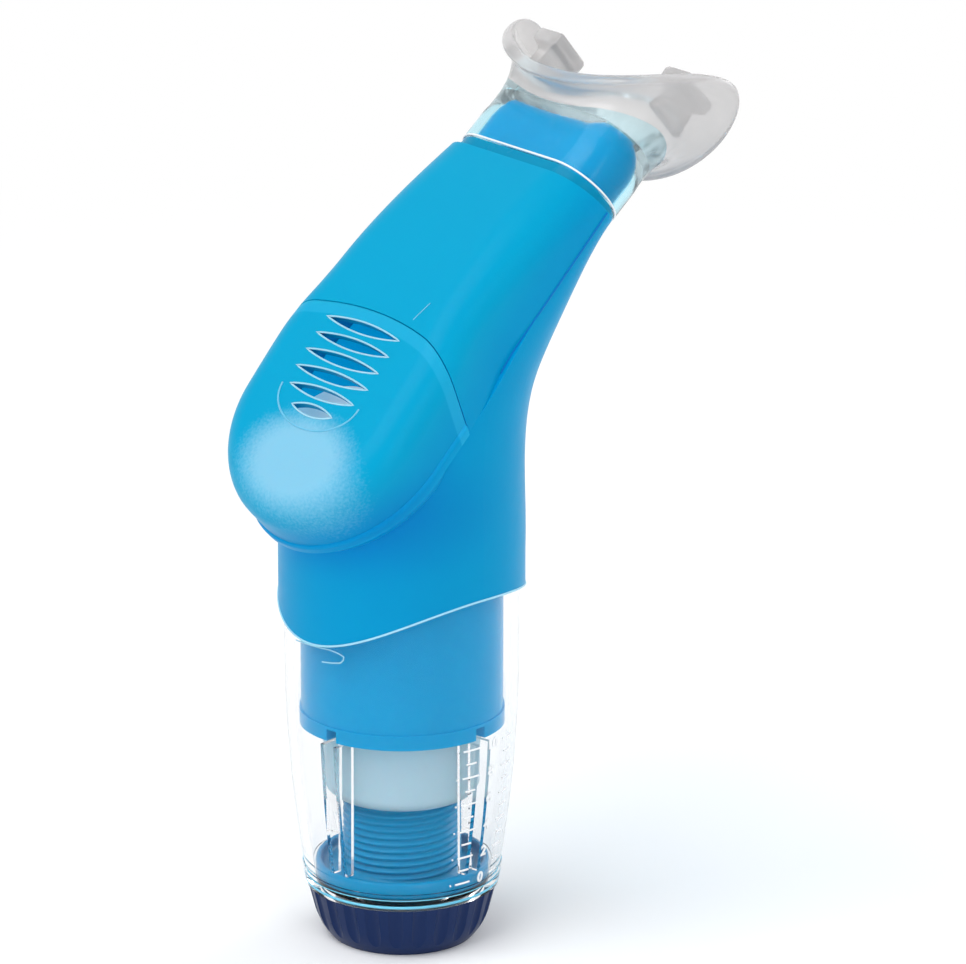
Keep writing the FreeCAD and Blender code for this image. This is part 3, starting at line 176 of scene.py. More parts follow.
def skirt_edge(turn):
    """Height of the skirt's arched lower edge at an angle, in radians from +X."""
    y = SKIRT_RADIUS * math.sin(turn)
    drop = SKIRT_FRONT if y < 0 else SKIRT_REAR
    return SHOULDER_HEIGHT - SKIRT_SIDE - arc_drop(arc_radius(SKIRT_RADIUS, drop - SKIRT_SIDE), y)


# Materials

MOTTLE_SCALE = 60.0
GLOSS_SCALE = 220.0
SKIN_SCALE = 2600.0
SPECKLE_SCALE = 1800.0
GLOSS_LEAST = 0.8
GLOSS_MOST = 1.25
LIGHT_REACH = (0.1, 0.7, 1.0)
LIGHT_DEPTH = 3.0
MIDDLE = (0.0, 0.0, 0.0)


def new_material(name):
    material = bpy.data.materials.new(name)
    material.use_nodes = True
    tree = material.node_tree
    tree.nodes.clear()
    output = tree.nodes.new("ShaderNodeOutputMaterial")
    shader = tree.nodes.new("ShaderNodeBsdfPrincipled")
    tree.links.new(shader.outputs["BSDF"], output.inputs["Surface"])
    return material, tree, shader


def noise(tree, scale, detail=2.0):
    place = tree.nodes.new("ShaderNodeTexCoord")
    texture = tree.nodes.new("ShaderNodeTexNoise")
    texture.inputs["Scale"].default_value = scale
    texture.inputs["Detail"].default_value = detail
    tree.links.new(place.outputs["Object"], texture.inputs["Vector"])
    return texture.outputs["Fac"]


def spread(tree, factor, low, high, start=0.0, end=1.0, smooth=False):
    """A factor between start and end, spread over a range from low to high."""
    node = tree.nodes.new("ShaderNodeMapRange")
    node.interpolation_type = "SMOOTHSTEP" if smooth else "LINEAR"
    node.inputs["From Min"].default_value = start
    node.inputs["From Max"].default_value = end
    node.inputs["To Min"].default_value = low
    node.inputs["To Max"].default_value = high
    tree.links.new(factor, node.inputs["Value"])
    return node.outputs["Result"]


def blend_colours(tree, factor, low, high):
    ramp = tree.nodes.new("ShaderNodeValToRGB")
    ramp.color_ramp.elements[0].color = (*low, 1)
    ramp.color_ramp.elements[1].color = (*high, 1)
    tree.links.new(factor, ramp.inputs["Fac"])
    return ramp.outputs["Color"]


def mix_colours(tree, factor, base, colour):
    """A colour laid over a base where a factor is 1."""
    node = tree.nodes.new("ShaderNodeMix")
    node.data_type = "RGBA"
    tree.links.new(factor, node.inputs["Factor"])
    tree.links.new(base, node.inputs["A"])
    node.inputs["B"].default_value = (*colour, 1)
    return node.outputs["Result"]


def mix_shaders(tree, factor, first, second, output):
    """Sends the first shader to the output, or the second one where a factor is 1."""
    mix = tree.nodes.new("ShaderNodeMixShader")
    tree.links.new(factor, mix.inputs["Fac"])
    tree.links.new(first.outputs[0], mix.inputs[1])
    tree.links.new(second.outputs[0], mix.inputs[2])
    tree.links.new(mix.outputs["Shader"], output.inputs["Surface"])


def math_node(tree, operation, first, second):
    node = tree.nodes.new("ShaderNodeMath")
    node.operation = operation
    for socket, value in zip(node.inputs, (first, second)):
        if isinstance(value, float):
            socket.default_value = value
        else:
            tree.links.new(value, socket)
    return node.outputs["Value"]


def reach(tree, axes, direction):
    """How far a shaded point lies along one direction of some axes, in millimetres."""
    place = tree.nodes.new("ShaderNodeTexCoord")
    offset = tree.nodes.new("ShaderNodeVectorMath")
    offset.operation = "SUBTRACT"
    offset.inputs[1].default_value = axes.origin * MM
    tree.links.new(place.outputs["Object"], offset.inputs[0])
    dot = tree.nodes.new("ShaderNodeVectorMath")
    dot.operation = "DOT_PRODUCT"
    dot.inputs[1].default_value = direction / MM
    tree.links.new(offset.outputs["Vector"], dot.inputs[0])
    return dot.outputs["Value"]


def distance(tree, axes, centre, stretch=(1.0, 1.0, 1.0)):
    """Distance from a point given as x, along and out, with each of the three divided by a stretch."""
    total = None
    for direction, place, size in zip((Vector((1, 0, 0)), axes.along, axes.out), centre, stretch):
        part = math_node(tree, "SUBTRACT", reach(tree, axes, direction), float(place))
        part = math_node(tree, "DIVIDE", part, float(size))
        part = math_node(tree, "MULTIPLY", part, part)
        total = part if total is None else math_node(tree, "ADD", total, part)
    return math_node(tree, "SQRT", total, 0.0)


def bump(tree, shader, height, depth):
    node = tree.nodes.new("ShaderNodeBump")
    node.inputs["Distance"].default_value = depth * MM
    tree.links.new(height, node.inputs["Height"])
    tree.links.new(node.outputs["Normal"], shader.inputs["Normal"])


def plastic(name, low, high, roughness, transmission=0.0, grain=0.0, shine=0.5, glow=0.0, bend=1.49):
    """A moulded plastic: mottled colour, varied gloss, and a fine skin where grain gives its depth."""
    material, tree, shader = new_material(name)
    colour = blend_colours(tree, noise(tree, MOTTLE_SCALE, 3.0), low, high)
    tree.links.new(colour, shader.inputs["Base Color"])
    gloss = spread(tree, noise(tree, GLOSS_SCALE), roughness * GLOSS_LEAST, roughness * GLOSS_MOST)
    tree.links.new(gloss, shader.inputs["Roughness"])
    shader.inputs["IOR"].default_value = bend
    shader.inputs["Specular IOR Level"].default_value = shine
    shader.inputs["Transmission Weight"].default_value = transmission
    if glow:
        shader.inputs["Subsurface Weight"].default_value = glow
        shader.inputs["Subsurface Radius"].default_value = LIGHT_REACH
        shader.inputs["Subsurface Scale"].default_value = LIGHT_DEPTH * MM
    if grain:
        bump(tree, shader, noise(tree, SKIN_SCALE, 1.0), grain)
    return material


def let_light_through(material, tint):
    """Lamps light what is behind this material as if it were a plain window."""
    tree = material.node_tree
    output = tree.nodes["Material Output"]
    shader = tree.nodes["Principled BSDF"]
    window = tree.nodes.new("ShaderNodeBsdfTransparent")
    window.inputs["Color"].default_value = (*tint, 1)
    ray = tree.nodes.new("ShaderNodeLightPath")
    mix_shaders(tree, ray.outputs["Is Shadow Ray"], shader, window, output)
    return material


BLUE_LOW = (0.0, 0.265, 0.52)
BLUE_HIGH = (0.0, 0.30, 0.56)
# Painted shade: a deeper blue under the nose, round the barrel's shoulder
PAINTED_SHADE_BLUE = (0.0, 0.18, 0.47)
# Painted light: a brighter blue along the handle's top
PAINTED_LIGHT_BLUE = (0.0, 0.345, 0.56)
# Pale patch on the nose front: the nose's frosting, with a painted highlight on it
FROSTED_HIGHLIGHT = (0.25, 0.55, 0.72)
# Painted highlight: a paler band along the vent cover's lip
LIP_HIGHLIGHT = (0.03, 0.44, 0.70)
THROUGH_BLUE = (0.70, 0.93, 1.0)
THROUGH_CLEAR = (0.96, 0.96, 0.96)
THROUGH_CUFF = (0.93, 0.93, 0.93)
THROUGH_CLOUDY = (0.55, 0.55, 0.55)

# Where the painted shade under the nose lies, how far it spreads, how strong it is and how it fades
SHADE_CENTRE = Axes(-14.0, 94.0, 0)
SHADE_SPREAD = (40.0, 22.0, 13.0)
SHADE_SHARE = 0.8
SHADE_FADE = (0.2, 1.3)
# How strong the painted light along the covers' top is, and the heights above the seam over which it
# fades in
TOP_LIGHT_SHARE = 0.8
TOP_LIGHT_FADE = (2.0, 13.0)
# Where the frosted nose front's painted highlight lies, how far it spreads, how strong it is and how it
# fades
FROSTED_HIGHLIGHT_PLACE = (3.0, -27.0, 11.0)
FROSTED_HIGHLIGHT_SPREAD = (16.0, 11.0, 14.0)
FROSTED_HIGHLIGHT_SHARE = 0.85
FROSTED_HIGHLIGHT_FADE = (0.75, 1.3)
SPECKLE = 0.3
# Width, fade and strength of the painted highlight along the lip
LIP_HIGHLIGHT_WIDTH = 2.2
LIP_HIGHLIGHT_FADE = 0.3
LIP_HIGHLIGHT_SHARE = 0.35


def body_plastic(name):
    """The satin body plastic, with painted shade round the barrel's shoulder under the nose and painted
    light along the handle's top.
    """
    material = plastic(name, BLUE_LOW, BLUE_HIGH, 0.34, grain=0.012, shine=0.06, glow=0.25)
    tree = material.node_tree
    shader = tree.nodes["Principled BSDF"]
    base = shader.inputs["Base Color"].links[0].from_socket
    # Painted shade under the nose, round the barrel's shoulder
    shade_reach = distance(tree, SHADE_CENTRE, MIDDLE, SHADE_SPREAD)
    deep = spread(tree, shade_reach, SHADE_SHARE, 0.0, *SHADE_FADE, smooth=True)
    colour = mix_colours(tree, deep, base, PAINTED_SHADE_BLUE)
    # Painted light, brighter towards the covers' top
    painted_top_light = spread(tree, reach(tree, seam, seam.out), 0.0, TOP_LIGHT_SHARE, *TOP_LIGHT_FADE, smooth=True)
    colour = mix_colours(tree, painted_top_light, colour, PAINTED_LIGHT_BLUE)
    tree.links.new(colour, shader.inputs["Base Color"])
    return let_light_through(material, THROUGH_BLUE)


def vent_plastic(name):
    """The body's plastic with two painted highlights: a pale soft patch on the frosted nose front, and a
    paler band along the lip behind the joint.
    """
    material = body_plastic(name)
    tree = material.node_tree
    shader = tree.nodes["Principled BSDF"]
    base = shader.inputs["Base Color"].links[0].from_socket
    # Painted highlight on the frosted nose front: a soft patch with a ragged edge
    far = distance(tree, seam, FROSTED_HIGHLIGHT_PLACE, FROSTED_HIGHLIGHT_SPREAD)
    speckle = math_node(tree, "MULTIPLY", noise(tree, SPECKLE_SCALE, 3.0), SPECKLE)
    far = math_node(tree, "ADD", far, speckle)
    frosted_highlight = spread(tree, far, FROSTED_HIGHLIGHT_SHARE, 0.0, *FROSTED_HIGHLIGHT_FADE, smooth=True)
    colour = mix_colours(tree, frosted_highlight, base, FROSTED_HIGHLIGHT)
    # Painted highlight: a paler band along the lip behind the joint
    across = reach(tree, split, Vector((1, 0, 0)))
    along = math_node(tree, "ADD", reach(tree, split, split.along), SPLIT_RADIUS)
    across = math_node(tree, "MULTIPLY", across, across)
    along = math_node(tree, "MULTIPLY", along, along)
    radius = math_node(tree, "SQRT", math_node(tree, "ADD", across, along), 0.0)
    edge = SPLIT_RADIUS - LIP_HIGHLIGHT_WIDTH
    lip_highlight = spread(tree, radius, 0.0, LIP_HIGHLIGHT_SHARE, edge - LIP_HIGHLIGHT_FADE, edge)
    colour = mix_colours(tree, lip_highlight, colour, LIP_HIGHLIGHT)
    tree.links.new(colour, shader.inputs["Base Color"])
    return material


def clear_plastic(tint, *looks, **more):
    """A plastic that also lets the lamps light what is behind it."""
    return let_light_through(plastic(*looks, **more), tint)


materials = {
    "knob": plastic("navy_moulded", (0.006, 0.018, 0.075), (0.009, 0.027, 0.10), 0.3,
                    shine=0.12, grain=0.01),
    "body": body_plastic("blue_satin_painted_light"),
    "vent": vent_plastic("blue_frosted_painted_highlight"),
    "inner": clear_plastic(THROUGH_BLUE, "blue_gloss", (0.0, 0.40, 0.66), (0.0, 0.45, 0.72), 0.22,
                           shine=0.08, glow=0.3),
    "barrel": clear_plastic(THROUGH_BLUE, "blue_barrel", (0.0, 0.24, 0.49), (0.0, 0.28, 0.55), 0.22,
                            shine=0.08, glow=0.3),
    "spigot": plastic("blue_spigot", (0.0, 0.24, 0.42), (0.0, 0.28, 0.47), 0.25, shine=0.08, glow=0.3),
    "deep": plastic("blue_column", (0.0, 0.18, 0.38), (0.0, 0.24, 0.45), 0.2, shine=0.12, glow=0.2),
    "clear": clear_plastic(THROUGH_CLEAR, "clear_shell", (0.95, 0.95, 0.95), (0.98, 0.98, 0.98), 0.03,
                           transmission=1.0, shine=0.25, bend=1.2),
    "pale": plastic("pale_nylon", (0.29, 0.44, 0.52), (0.33, 0.48, 0.57), 0.4, shine=0.2, glow=0.3),
    "white": plastic("white_moulded", (0.72, 0.80, 0.84), (0.80, 0.86, 0.90), 0.4),
    "cuff": clear_plastic(THROUGH_CUFF, "clear_silicone", (0.50, 0.82, 0.92), (0.58, 0.87, 0.95), 0.06,
                          transmission=1.0, grain=0.01, bend=1.2),
    "silicone": clear_plastic(THROUGH_CLOUDY, "cloudy_silicone", (0.65, 0.64, 0.635), (0.75, 0.735, 0.73),
                              0.1, transmission=0.6, grain=0.006, bend=1.38),
    # White of the raised scale marks, also used for the painted highlight round the collar's foot
    "mark_and_highlight": plastic("raised_mark_and_highlight", (0.86, 0.87, 0.88), (0.93, 0.93, 0.93), 0.3),
    # Pale lines. line: painted highlights along the skirt's edge and round the vents, and the latch's
    # line; rib: painted highlights round the sleeve's foot and on the vents' raised border, and the top
    # shell's short ridge
    "line": plastic("pale_line", (0.30, 0.62, 0.80), (0.38, 0.70, 0.86), 0.3, glow=0.3),
    "rib_and_highlight": plastic("soft_line", (0.10, 0.46, 0.70), (0.15, 0.52, 0.75), 0.3, glow=0.3),
    "joint": plastic("joint_line", (0.0, 0.15, 0.44), (0.0, 0.18, 0.50), 0.4, shine=0.1),
    "rubber": plastic("grey_rubber", (0.55, 0.56, 0.58), (0.65, 0.66, 0.68), 0.5),
    "steel": plastic("spring_steel", (0.55, 0.55, 0.56), (0.68, 0.68, 0.69), 0.25),
}
materials["steel"].node_tree.nodes["Principled BSDF"].inputs["Metallic"].default_value = 1.0

NODE_MATERIALS = {
    "knob": "knob",
    "thread_column": "deep",
    "column_screw": "steel",
    "column_o_ring": "rubber",
    "clear_sleeve": "clear",
    "sleeve_o_ring": "rubber",
    "inner_barrel": "barrel",
    "load_nut": "pale",
    "load_spring": "steel",
    "inhale_poppet": "white",
    "poppet_seal": "rubber",
    "inlet_duct": "inner",
    "valve_deck": "inner",
    "exhale_seat": "white",
    "exhale_flap": "white",
    "flap_stud": "rubber",
    "main_body": "body",
    "handle_top_shell": "body",
    "vent_cover": "vent",
    "mouth_spigot": "spigot",
    "mouthpiece": "silicone",
}


def paint(item, *kinds):
    item.data.materials.clear()
    for kind in kinds:
        item.data.materials.append(materials[kind])


for name, kind in NODE_MATERIALS.items():
    paint(nodes[name], kind)


# Making pieces


def add_object(name, data):
    item = bpy.data.objects.new(name, data)
    bpy.context.scene.collection.objects.link(item)
    return item


def add_piece(name, body, kinds, data):
    """An object in its materials that rides on a body."""
    piece = add_object(name, data)
    paint(piece, *kinds)
    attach(piece, body)
    return piece


def add_mesh(name, body, kinds, points, faces, kinds_of_faces=None):
    """A smooth mesh piece from points in millimetres."""
    mesh = bpy.data.meshes.new(name)
    mesh.from_pydata([tuple(Vector(point) * MM) for point in points], [], faces)
    piece = add_piece(name, body, kinds, mesh)
    if kinds_of_faces:
        mesh.polygons.foreach_set("material_index", kinds_of_faces)
    mesh.polygons.foreach_set("use_smooth", [True] * len(mesh.polygons))
    mesh.update()
    work = bmesh.new()
    work.from_mesh(mesh)
    bmesh.ops.recalc_face_normals(work, faces=work.faces)
    work.to_mesh(mesh)
    work.free()
    return piece


def ring_of_profiles(profiles):
    """Points and quads of a surface closed both ways: each profile is a closed loop of points."""
    count = len(profiles)
    steps = len(profiles[0])
    points = [point for profile in profiles for point in profile]
    faces = []
    for number in range(count):
        following = (number + 1) % count
        for step in range(steps):
            ahead = (step + 1) % steps
            faces.append((number * steps + step, following * steps + step,
                          following * steps + ahead, number * steps + ahead))
    return points, faces


def round_curve(name, radius):
    curve = bpy.data.curves.new(name, "CURVE")
    curve.dimensions = "3D"
    curve.bevel_depth = radius * MM
    curve.bevel_resolution = 2
    curve.use_fill_caps = True
    return curve


def add_line(name, body, kind, points, radius, closed=False):
    """A thin line, for the joints and for the painted highlights: a round curve through points in
    millimetres.
    """
    curve = round_curve(name, radius)
    add_spline(curve, points, closed)
    add_piece(name, body, [kind], curve)


def add_spline(curve, points, closed=False):
    spline = curve.splines.new("POLY")
    spline.points.add(len(points) - 1)
    for target, point in zip(spline.points, points):
        target.co = (*(Vector(point) * MM), 1)
    spline.use_cyclic_u = closed
    spline.use_smooth = True


def steps_between(start, end, count):
    return [start + (end - start) * number / count for number in range(count + 1)]


# Load column with its thread

THREAD_PITCH = 1.44
THREAD_STARTS = 2
THREAD_DEPTH = 0.62
THREAD_SHARPNESS = 1.5
THREAD_ABOVE_FLOOR = 0.8
COLUMN_CHAMFER = 0.6
COLUMN_SIDES = 120
STEPS_A_PITCH = 8
DISH_ROUND = 1.4
DISH_ROUND_STEPS = 4
DISH_CHAMFER = 0.5


def make_column():
    """The hollow column with a round two-start thread, standing in its dish."""
    thread_low = DISH_FLOOR + THREAD_ABOVE_FLOOR
    count = round((COLUMN_TOP - thread_low) / THREAD_PITCH * STEPS_A_PITCH)
    heights = steps_between(thread_low, COLUMN_TOP - CHAMFER, count)
    inside_wall = DISH_RADIUS - DISH_WALL
    foot = [
        (COLUMN_PILOT, COLUMN_FOOT), (COLUMN_HUB, COLUMN_FOOT), (COLUMN_HUB, DISH_LOW),
        (DISH_RADIUS - DISH_CHAMFER, DISH_LOW), (DISH_RADIUS, DISH_LOW + DISH_CHAMFER),
        (DISH_RADIUS, DISH_HIGH - CHAMFER), (DISH_RADIUS - CHAMFER, DISH_HIGH),
        (inside_wall + CHAMFER, DISH_HIGH), (inside_wall, DISH_HIGH - CHAMFER),
    ]
    for number in range(DISH_ROUND_STEPS + 1):
        turn = math.pi / 2 * number / DISH_ROUND_STEPS
        foot.append((inside_wall - DISH_ROUND * (1 - math.cos(turn)),
                     DISH_FLOOR + DISH_ROUND * (1 - math.sin(turn))))
    inside = [
        (COLUMN_RADIUS - COLUMN_CHAMFER, COLUMN_TOP), (COLUMN_BORE + CHAMFER, COLUMN_TOP),
        (COLUMN_BORE, COLUMN_TOP - CHAMFER), (COLUMN_BORE, DISH_FLOOR), (COLUMN_PILOT, DISH_FLOOR),
    ]
    profiles = []
    for side in range(COLUMN_SIDES):
        share = side / COLUMN_SIDES
        turn = 2 * math.pi * share
        profile = list(foot)
        for height in heights:
            wave = math.cos(2 * math.pi * ((height - DISH_FLOOR) / THREAD_PITCH - THREAD_STARTS * share))
            ridge = 1 - (0.5 - 0.5 * wave) ** THREAD_SHARPNESS
            profile.append((COLUMN_RADIUS - THREAD_DEPTH * (1 - ridge), height))
        profile.extend(inside)
        profiles.append([(radius * math.cos(turn), radius * math.sin(turn), height)
                         for radius, height in profile])
    points, faces = ring_of_profiles(profiles)
    piece = add_mesh("column_thread", "knob", ["deep"], points, faces)
    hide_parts("thread_column")


# Top shell

SIDE_STEPS = 4
CORNER_STEPS = 10
TOP_STEPS = 14
SHELL_STEPS = 40
SPLIT_GUESSES = 8
SPIGOT_INSET = 1.9
SHARP_ANGLE = 35.0


def cover_section(along, inset):
    """The covers' arch at a place along the seam, from the right side over the top to the left one."""
    half_width = covers_half_width(along) - inset
    height = crown(along) - inset
    share = min(max((along - REAR_START) / (HANDLE_LENGTH - REAR_START), 0.0), 1.0)
    size = RIM_ROUND + (REAR_ROUND - RIM_ROUND) * share * share * (3 - 2 * share) - inset
    half = [(half_width, (height - size) * step / SIDE_STEPS) for step in range(SIDE_STEPS)]
    for step in range(CORNER_STEPS + 1):
        turn = math.pi / 2 * step / CORNER_STEPS
        half.append((half_width - size + size * math.cos(turn), height - size + size * math.sin(turn)))
    for step in range(1, TOP_STEPS + 1):
        half.append(((half_width - size) * (1 - step / TOP_STEPS), height))
    return half + [(-x, out) for x, out in reversed(half[:-1])]


def split_along(x, out):
    """How far along the seam the top shell starts, at a place across it and a height above it."""
    edge = math.sqrt((SPLIT_RADIUS + SPLIT_GAP) ** 2 - x * x) - SPLIT_RADIUS
    offset = (seam.point(x, 0, out) - split.origin).dot(split.along)
    return (edge - offset) / seam.along.dot(split.along)


def shell_rows(inset, end):
    """Rows of points over the top shell, from its leaning front edge to a place near its end."""
    width = len(cover_section(REAR_START, inset))
    rows = [[None] * width for _ in range(SHELL_STEPS + 1)]
    for index in range(width):
        front = SPLIT_PLACE
        for _ in range(SPLIT_GUESSES):
            front = split_along(*cover_section(front, inset)[index])
        for step in range(SHELL_STEPS + 1):
            along = front + (end - front) * step / SHELL_STEPS
            x, out = cover_section(along, inset)[index]
            rows[step][index] = (x, along, out)
    return rows


def spigot_hole(row, along):
    """The hole in the shell's end wall that faces each point of a row."""
    points = []
    half_width = COLLAR_HALF_WIDTH - SPIGOT_INSET
    half_depth = COLLAR_HALF_DEPTH - SPIGOT_INSET
    for x, _, out in row:
        across, up = stadium(half_width, half_depth, (x, out - COLLAR_ABOVE_SEAM))
        points.append((across, along, up + COLLAR_ABOVE_SEAM))
    return points


def make_top_shell():
    """The handle's fixed cover, its top falling in one sweep until it is flush with the cuff."""
    outer = shell_rows(0.0, HANDLE_LENGTH)
    inner = shell_rows(COVER_WALL, HANDLE_LENGTH - COVER_WALL)
    outer.append(spigot_hole(outer[-1], HANDLE_LENGTH))
    inner.append(spigot_hole(inner[-1], HANDLE_LENGTH - COVER_WALL))
    width = len(outer[0])
    loops = [over + under[::-1] for over, under in zip(outer, inner)]
    points = [seam.point(*place) for loop in loops for place in loop]
    steps = 2 * width
    faces = []
    for row in range(len(loops) - 1):
        for step in range(steps):
            ahead = (step + 1) % steps
            faces.append((row * steps + step, row * steps + ahead,
                          row * steps + steps + ahead, row * steps + steps + step))
    for first in (0, (len(loops) - 1) * steps):
        for step in range(width - 1):
            faces.append((first + step, first + step + 1,
                          first + steps - 2 - step, first + steps - 1 - step))
    piece = add_mesh("top_shell", "handle", ["body"], points, faces)
    piece.data.set_sharp_from_angle(angle=math.radians(SHARP_ANGLE))
    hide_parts("handle_top_shell")


# Mouthpiece

SHIELD_BEND = 33.0
SHIELD_PLACE = 16.8
SHIELD_HALF_ARC = 35.5
SHIELD_HALF_HEIGHT = 16.1
SHIELD_DROP = 0.5
SHIELD_POWER = 1.85
SHIELD_THICKNESS = 1.8
BEAD_THICKNESS = 2.5
BEAD_STEPS = 6
BEAD_SHARE = 0.06
RIM_THICKENING = 0.1
TUBE_MIDDLE = 5.0
TUBE_END = 8.5
NECK_HALF_WIDTH = 18.6
NECK_HALF_DEPTH = 9.3
FLARE_SHARE = 0.62
FLARE_PULL = 1.0
FLARE_STEPS = 12
CUFF_STEPS = 6
SHEET_SHARES = (0.75, 0.88)
BACK_SHARES = (0.70, 0.40)
INSIDE_SHARE = 0.18
INSIDE_LEAD = 1.0
INSIDE_STEPS = 5
SOCKET_MIDDLE = 8.0
EDGE_ROUND = 0.15
MOUTH_SIDES = 144


def stadium(half_width, half_depth, direction):
    """Where a ray from the centre meets a stadium outline."""
    flat = half_width - half_depth
    across, up = direction
    if abs(up) > 1e-9:
        scale = half_depth / abs(up)
        if abs(across) * scale <= flat:
            return across * scale, up * scale
    side = math.copysign(flat, across)
    square = across * across + up * up
    half = across * side
    scale = (half + math.sqrt(half * half - square * (side * side - half_depth * half_depth))) / square
    return across * scale, up * scale


def shield_rim(direction):
    """Where a ray from the centre meets the flattened shield's outline."""
    across, up = direction
    wide = abs(across) / SHIELD_HALF_ARC
    high = abs(up) / SHIELD_HALF_HEIGHT
    scale = (wide ** SHIELD_POWER + high ** SHIELD_POWER) ** (-1 / SHIELD_POWER)
    return across * scale, up * scale


def on_shield(arc, up, behind):
    """A point of the bent sheet; behind is its depth towards the teeth from the middle of the sheet."""
    turn = arc / SHIELD_BEND
    radius = SHIELD_BEND - behind
    place = SHIELD_PLACE + SHIELD_BEND - radius * math.cos(turn)
    return Vector((radius * math.sin(turn), place, up - SHIELD_DROP))


def curve_between(start, pull, end, count):
    """A quadratic curve, without its two ends."""
    points = []
    for number in range(1, count):
        share = number / count
        points.append(start * (1 - share) ** 2 + pull * 2 * share * (1 - share) + end * share ** 2)
    return points


def between(first, second, share):
    return tuple(one + (other - one) * share for one, other in zip(first, second))


def mouth_profile(turn):
    """One closed section of the mouthpiece, from its foot out to the lip and back inside."""
    direction = (COLLAR_HALF_WIDTH * math.cos(turn), COLLAR_HALF_DEPTH * math.sin(turn))
    outer = stadium(COLLAR_HALF_WIDTH, COLLAR_HALF_DEPTH, direction)
    socket = stadium(COLLAR_HALF_WIDTH - COLLAR_WALL, COLLAR_HALF_DEPTH - COLLAR_WALL, direction)
    airway = stadium(AIRWAY_HALF_WIDTH, AIRWAY_HALF_DEPTH, direction)
    neck = stadium(NECK_HALF_WIDTH, NECK_HALF_DEPTH, direction)
    rim = shield_rim(direction)
    half = SHIELD_THICKNESS / 2
    round_half = BEAD_THICKNESS / 2

    def tube(oval, place):
        return Vector((oval[0], place, oval[1]))

    def sheet(share, behind):
        return on_shield(*between(neck, rim, share), behind)

    points = [tube(outer, COLLAR_FOOT), tube(outer, COLLAR_FOOT + EDGE_ROUND), tube(outer, TUBE_MIDDLE)]
    kinds = ["cuff"] * 3
    start = tube(outer, TUBE_END)
    end = sheet(FLARE_SHARE, -half)
    pull = Vector((neck[0], sheet(0.0, -half).y - FLARE_PULL, neck[1]))
    points += [start] + curve_between(start, pull, end, FLARE_STEPS) + [end]
    kinds += ["cuff"] * CUFF_STEPS + ["silicone"] * (FLARE_STEPS + 1 - CUFF_STEPS)
    flat, thick = SHEET_SHARES
    points += [sheet(flat, -half), sheet(thick, -half - RIM_THICKENING)]
    kinds += ["silicone"] * 2
    for number in range(BEAD_STEPS + 1):
        lean = math.pi * (number / BEAD_STEPS - 0.5)
        share = 1.0 - BEAD_SHARE * (1 - math.cos(lean))
        points.append(sheet(share, round_half * math.sin(lean)))
        kinds.append("silicone")
    points += [sheet(thick, half + RIM_THICKENING)] + [sheet(share, half) for share in BACK_SHARES]
    kinds += ["silicone"] * 3
    inside_start = sheet(INSIDE_SHARE, half)
    inside_end = tube(airway, SOCKET_DEPTH + INSIDE_LEAD)
    inside_pull = Vector((airway[0], inside_start.y, airway[1]))
    inside_curve = curve_between(inside_start, inside_pull, inside_end, INSIDE_STEPS)
    points += [inside_start] + inside_curve + [inside_end]
    kinds += ["silicone"] * (INSIDE_STEPS + 1)
    points += [tube(airway, SOCKET_DEPTH), tube(socket, SOCKET_DEPTH - CHAMFER)]
    points += [tube(socket, place) for place in (SOCKET_MIDDLE, COLLAR_FOOT + EDGE_ROUND, COLLAR_FOOT)]
    kinds += ["cuff"] * 5
    return [collar.point(point.x, point.y, point.z) for point in points], kinds


def make_mouthpiece():
    """Clear cuff over the spigot, flaring in one curve into the bent, cloudy shield."""
    profiles = []
    for side in range(MOUTH_SIDES):
        section, kinds = mouth_profile(2 * math.pi * side / MOUTH_SIDES)
        profiles.append(section)
    points, faces = ring_of_profiles(profiles)
    index = {"cuff": 0, "silicone": 1}
    piece = add_mesh("mouthpiece_soft", "mouthpiece", ["cuff", "silicone"], points, faces,
                     [index[kind] for kind in kinds] * MOUTH_SIDES)
    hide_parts("mouthpiece")


BITE_PLACE = 18.5
BITE_SOFTNESS = 0.6
BITE_SECTIONS = (
    (5.5, 1.7, 4.6), (7.5, 1.4, 3.8), (10.4, 1.4, 3.6), (11.4, 2.2, 4.2),
    (12.0, 3.4, 4.8), (14.4, 3.5, 4.9), (15.0, 3.0, 4.4),
)


def make_bite_block(name, way):
    """A stalk on the shield's back with a lug across its end, all edges soft."""
    points = []
    faces = []
    for behind, half_width, half_height in BITE_SECTIONS:
        for across, up in ((-1, -1), (1, -1), (1, 1), (-1, 1)):
            points.append(collar.point(BITE_PLACE * way + across * half_width, SHIELD_PLACE + behind,
                                       up * half_height))
    for number in range(len(BITE_SECTIONS) - 1):
        for corner in range(4):
            following = (corner + 1) % 4
            faces.append((number * 4 + corner, number * 4 + following,
                          number * 4 + 4 + following, number * 4 + 4 + corner))
    last = len(points) - 4
    faces += [(3, 2, 1, 0), (last, last + 1, last + 2, last + 3)]
    piece = add_mesh(name, "mouthpiece", ["silicone"], points, faces)
    bevel = piece.modifiers.new("soft", "BEVEL")
    bevel.width = BITE_SOFTNESS * MM
    bevel.segments = 2
    smooth = piece.modifiers.new("smooth", "SUBSURF")
    smooth.levels = 2
    smooth.render_levels = 2


# Scale on the clear sleeve

SCALE_ZERO = 15.7
SCALE_LEVEL = 2.88
SCALE_TOP = 10
SCALE_TURN = 10.0
DIGIT_SIZE = 3.105
DIGIT_BOLDNESS = 0.06
MARK_DEPTH = 0.25
MARK_RADIUS = 0.2
MARK_PROUD = 0.05
LONG_DASHES = ((-9.0, 1.0), (19.0, 27.0))
SHORT_DASHES = ((-7.0, -1.0), (21.0, 26.0))
DOT = (-12.6, -12.0)
DASH_STEPS = 6


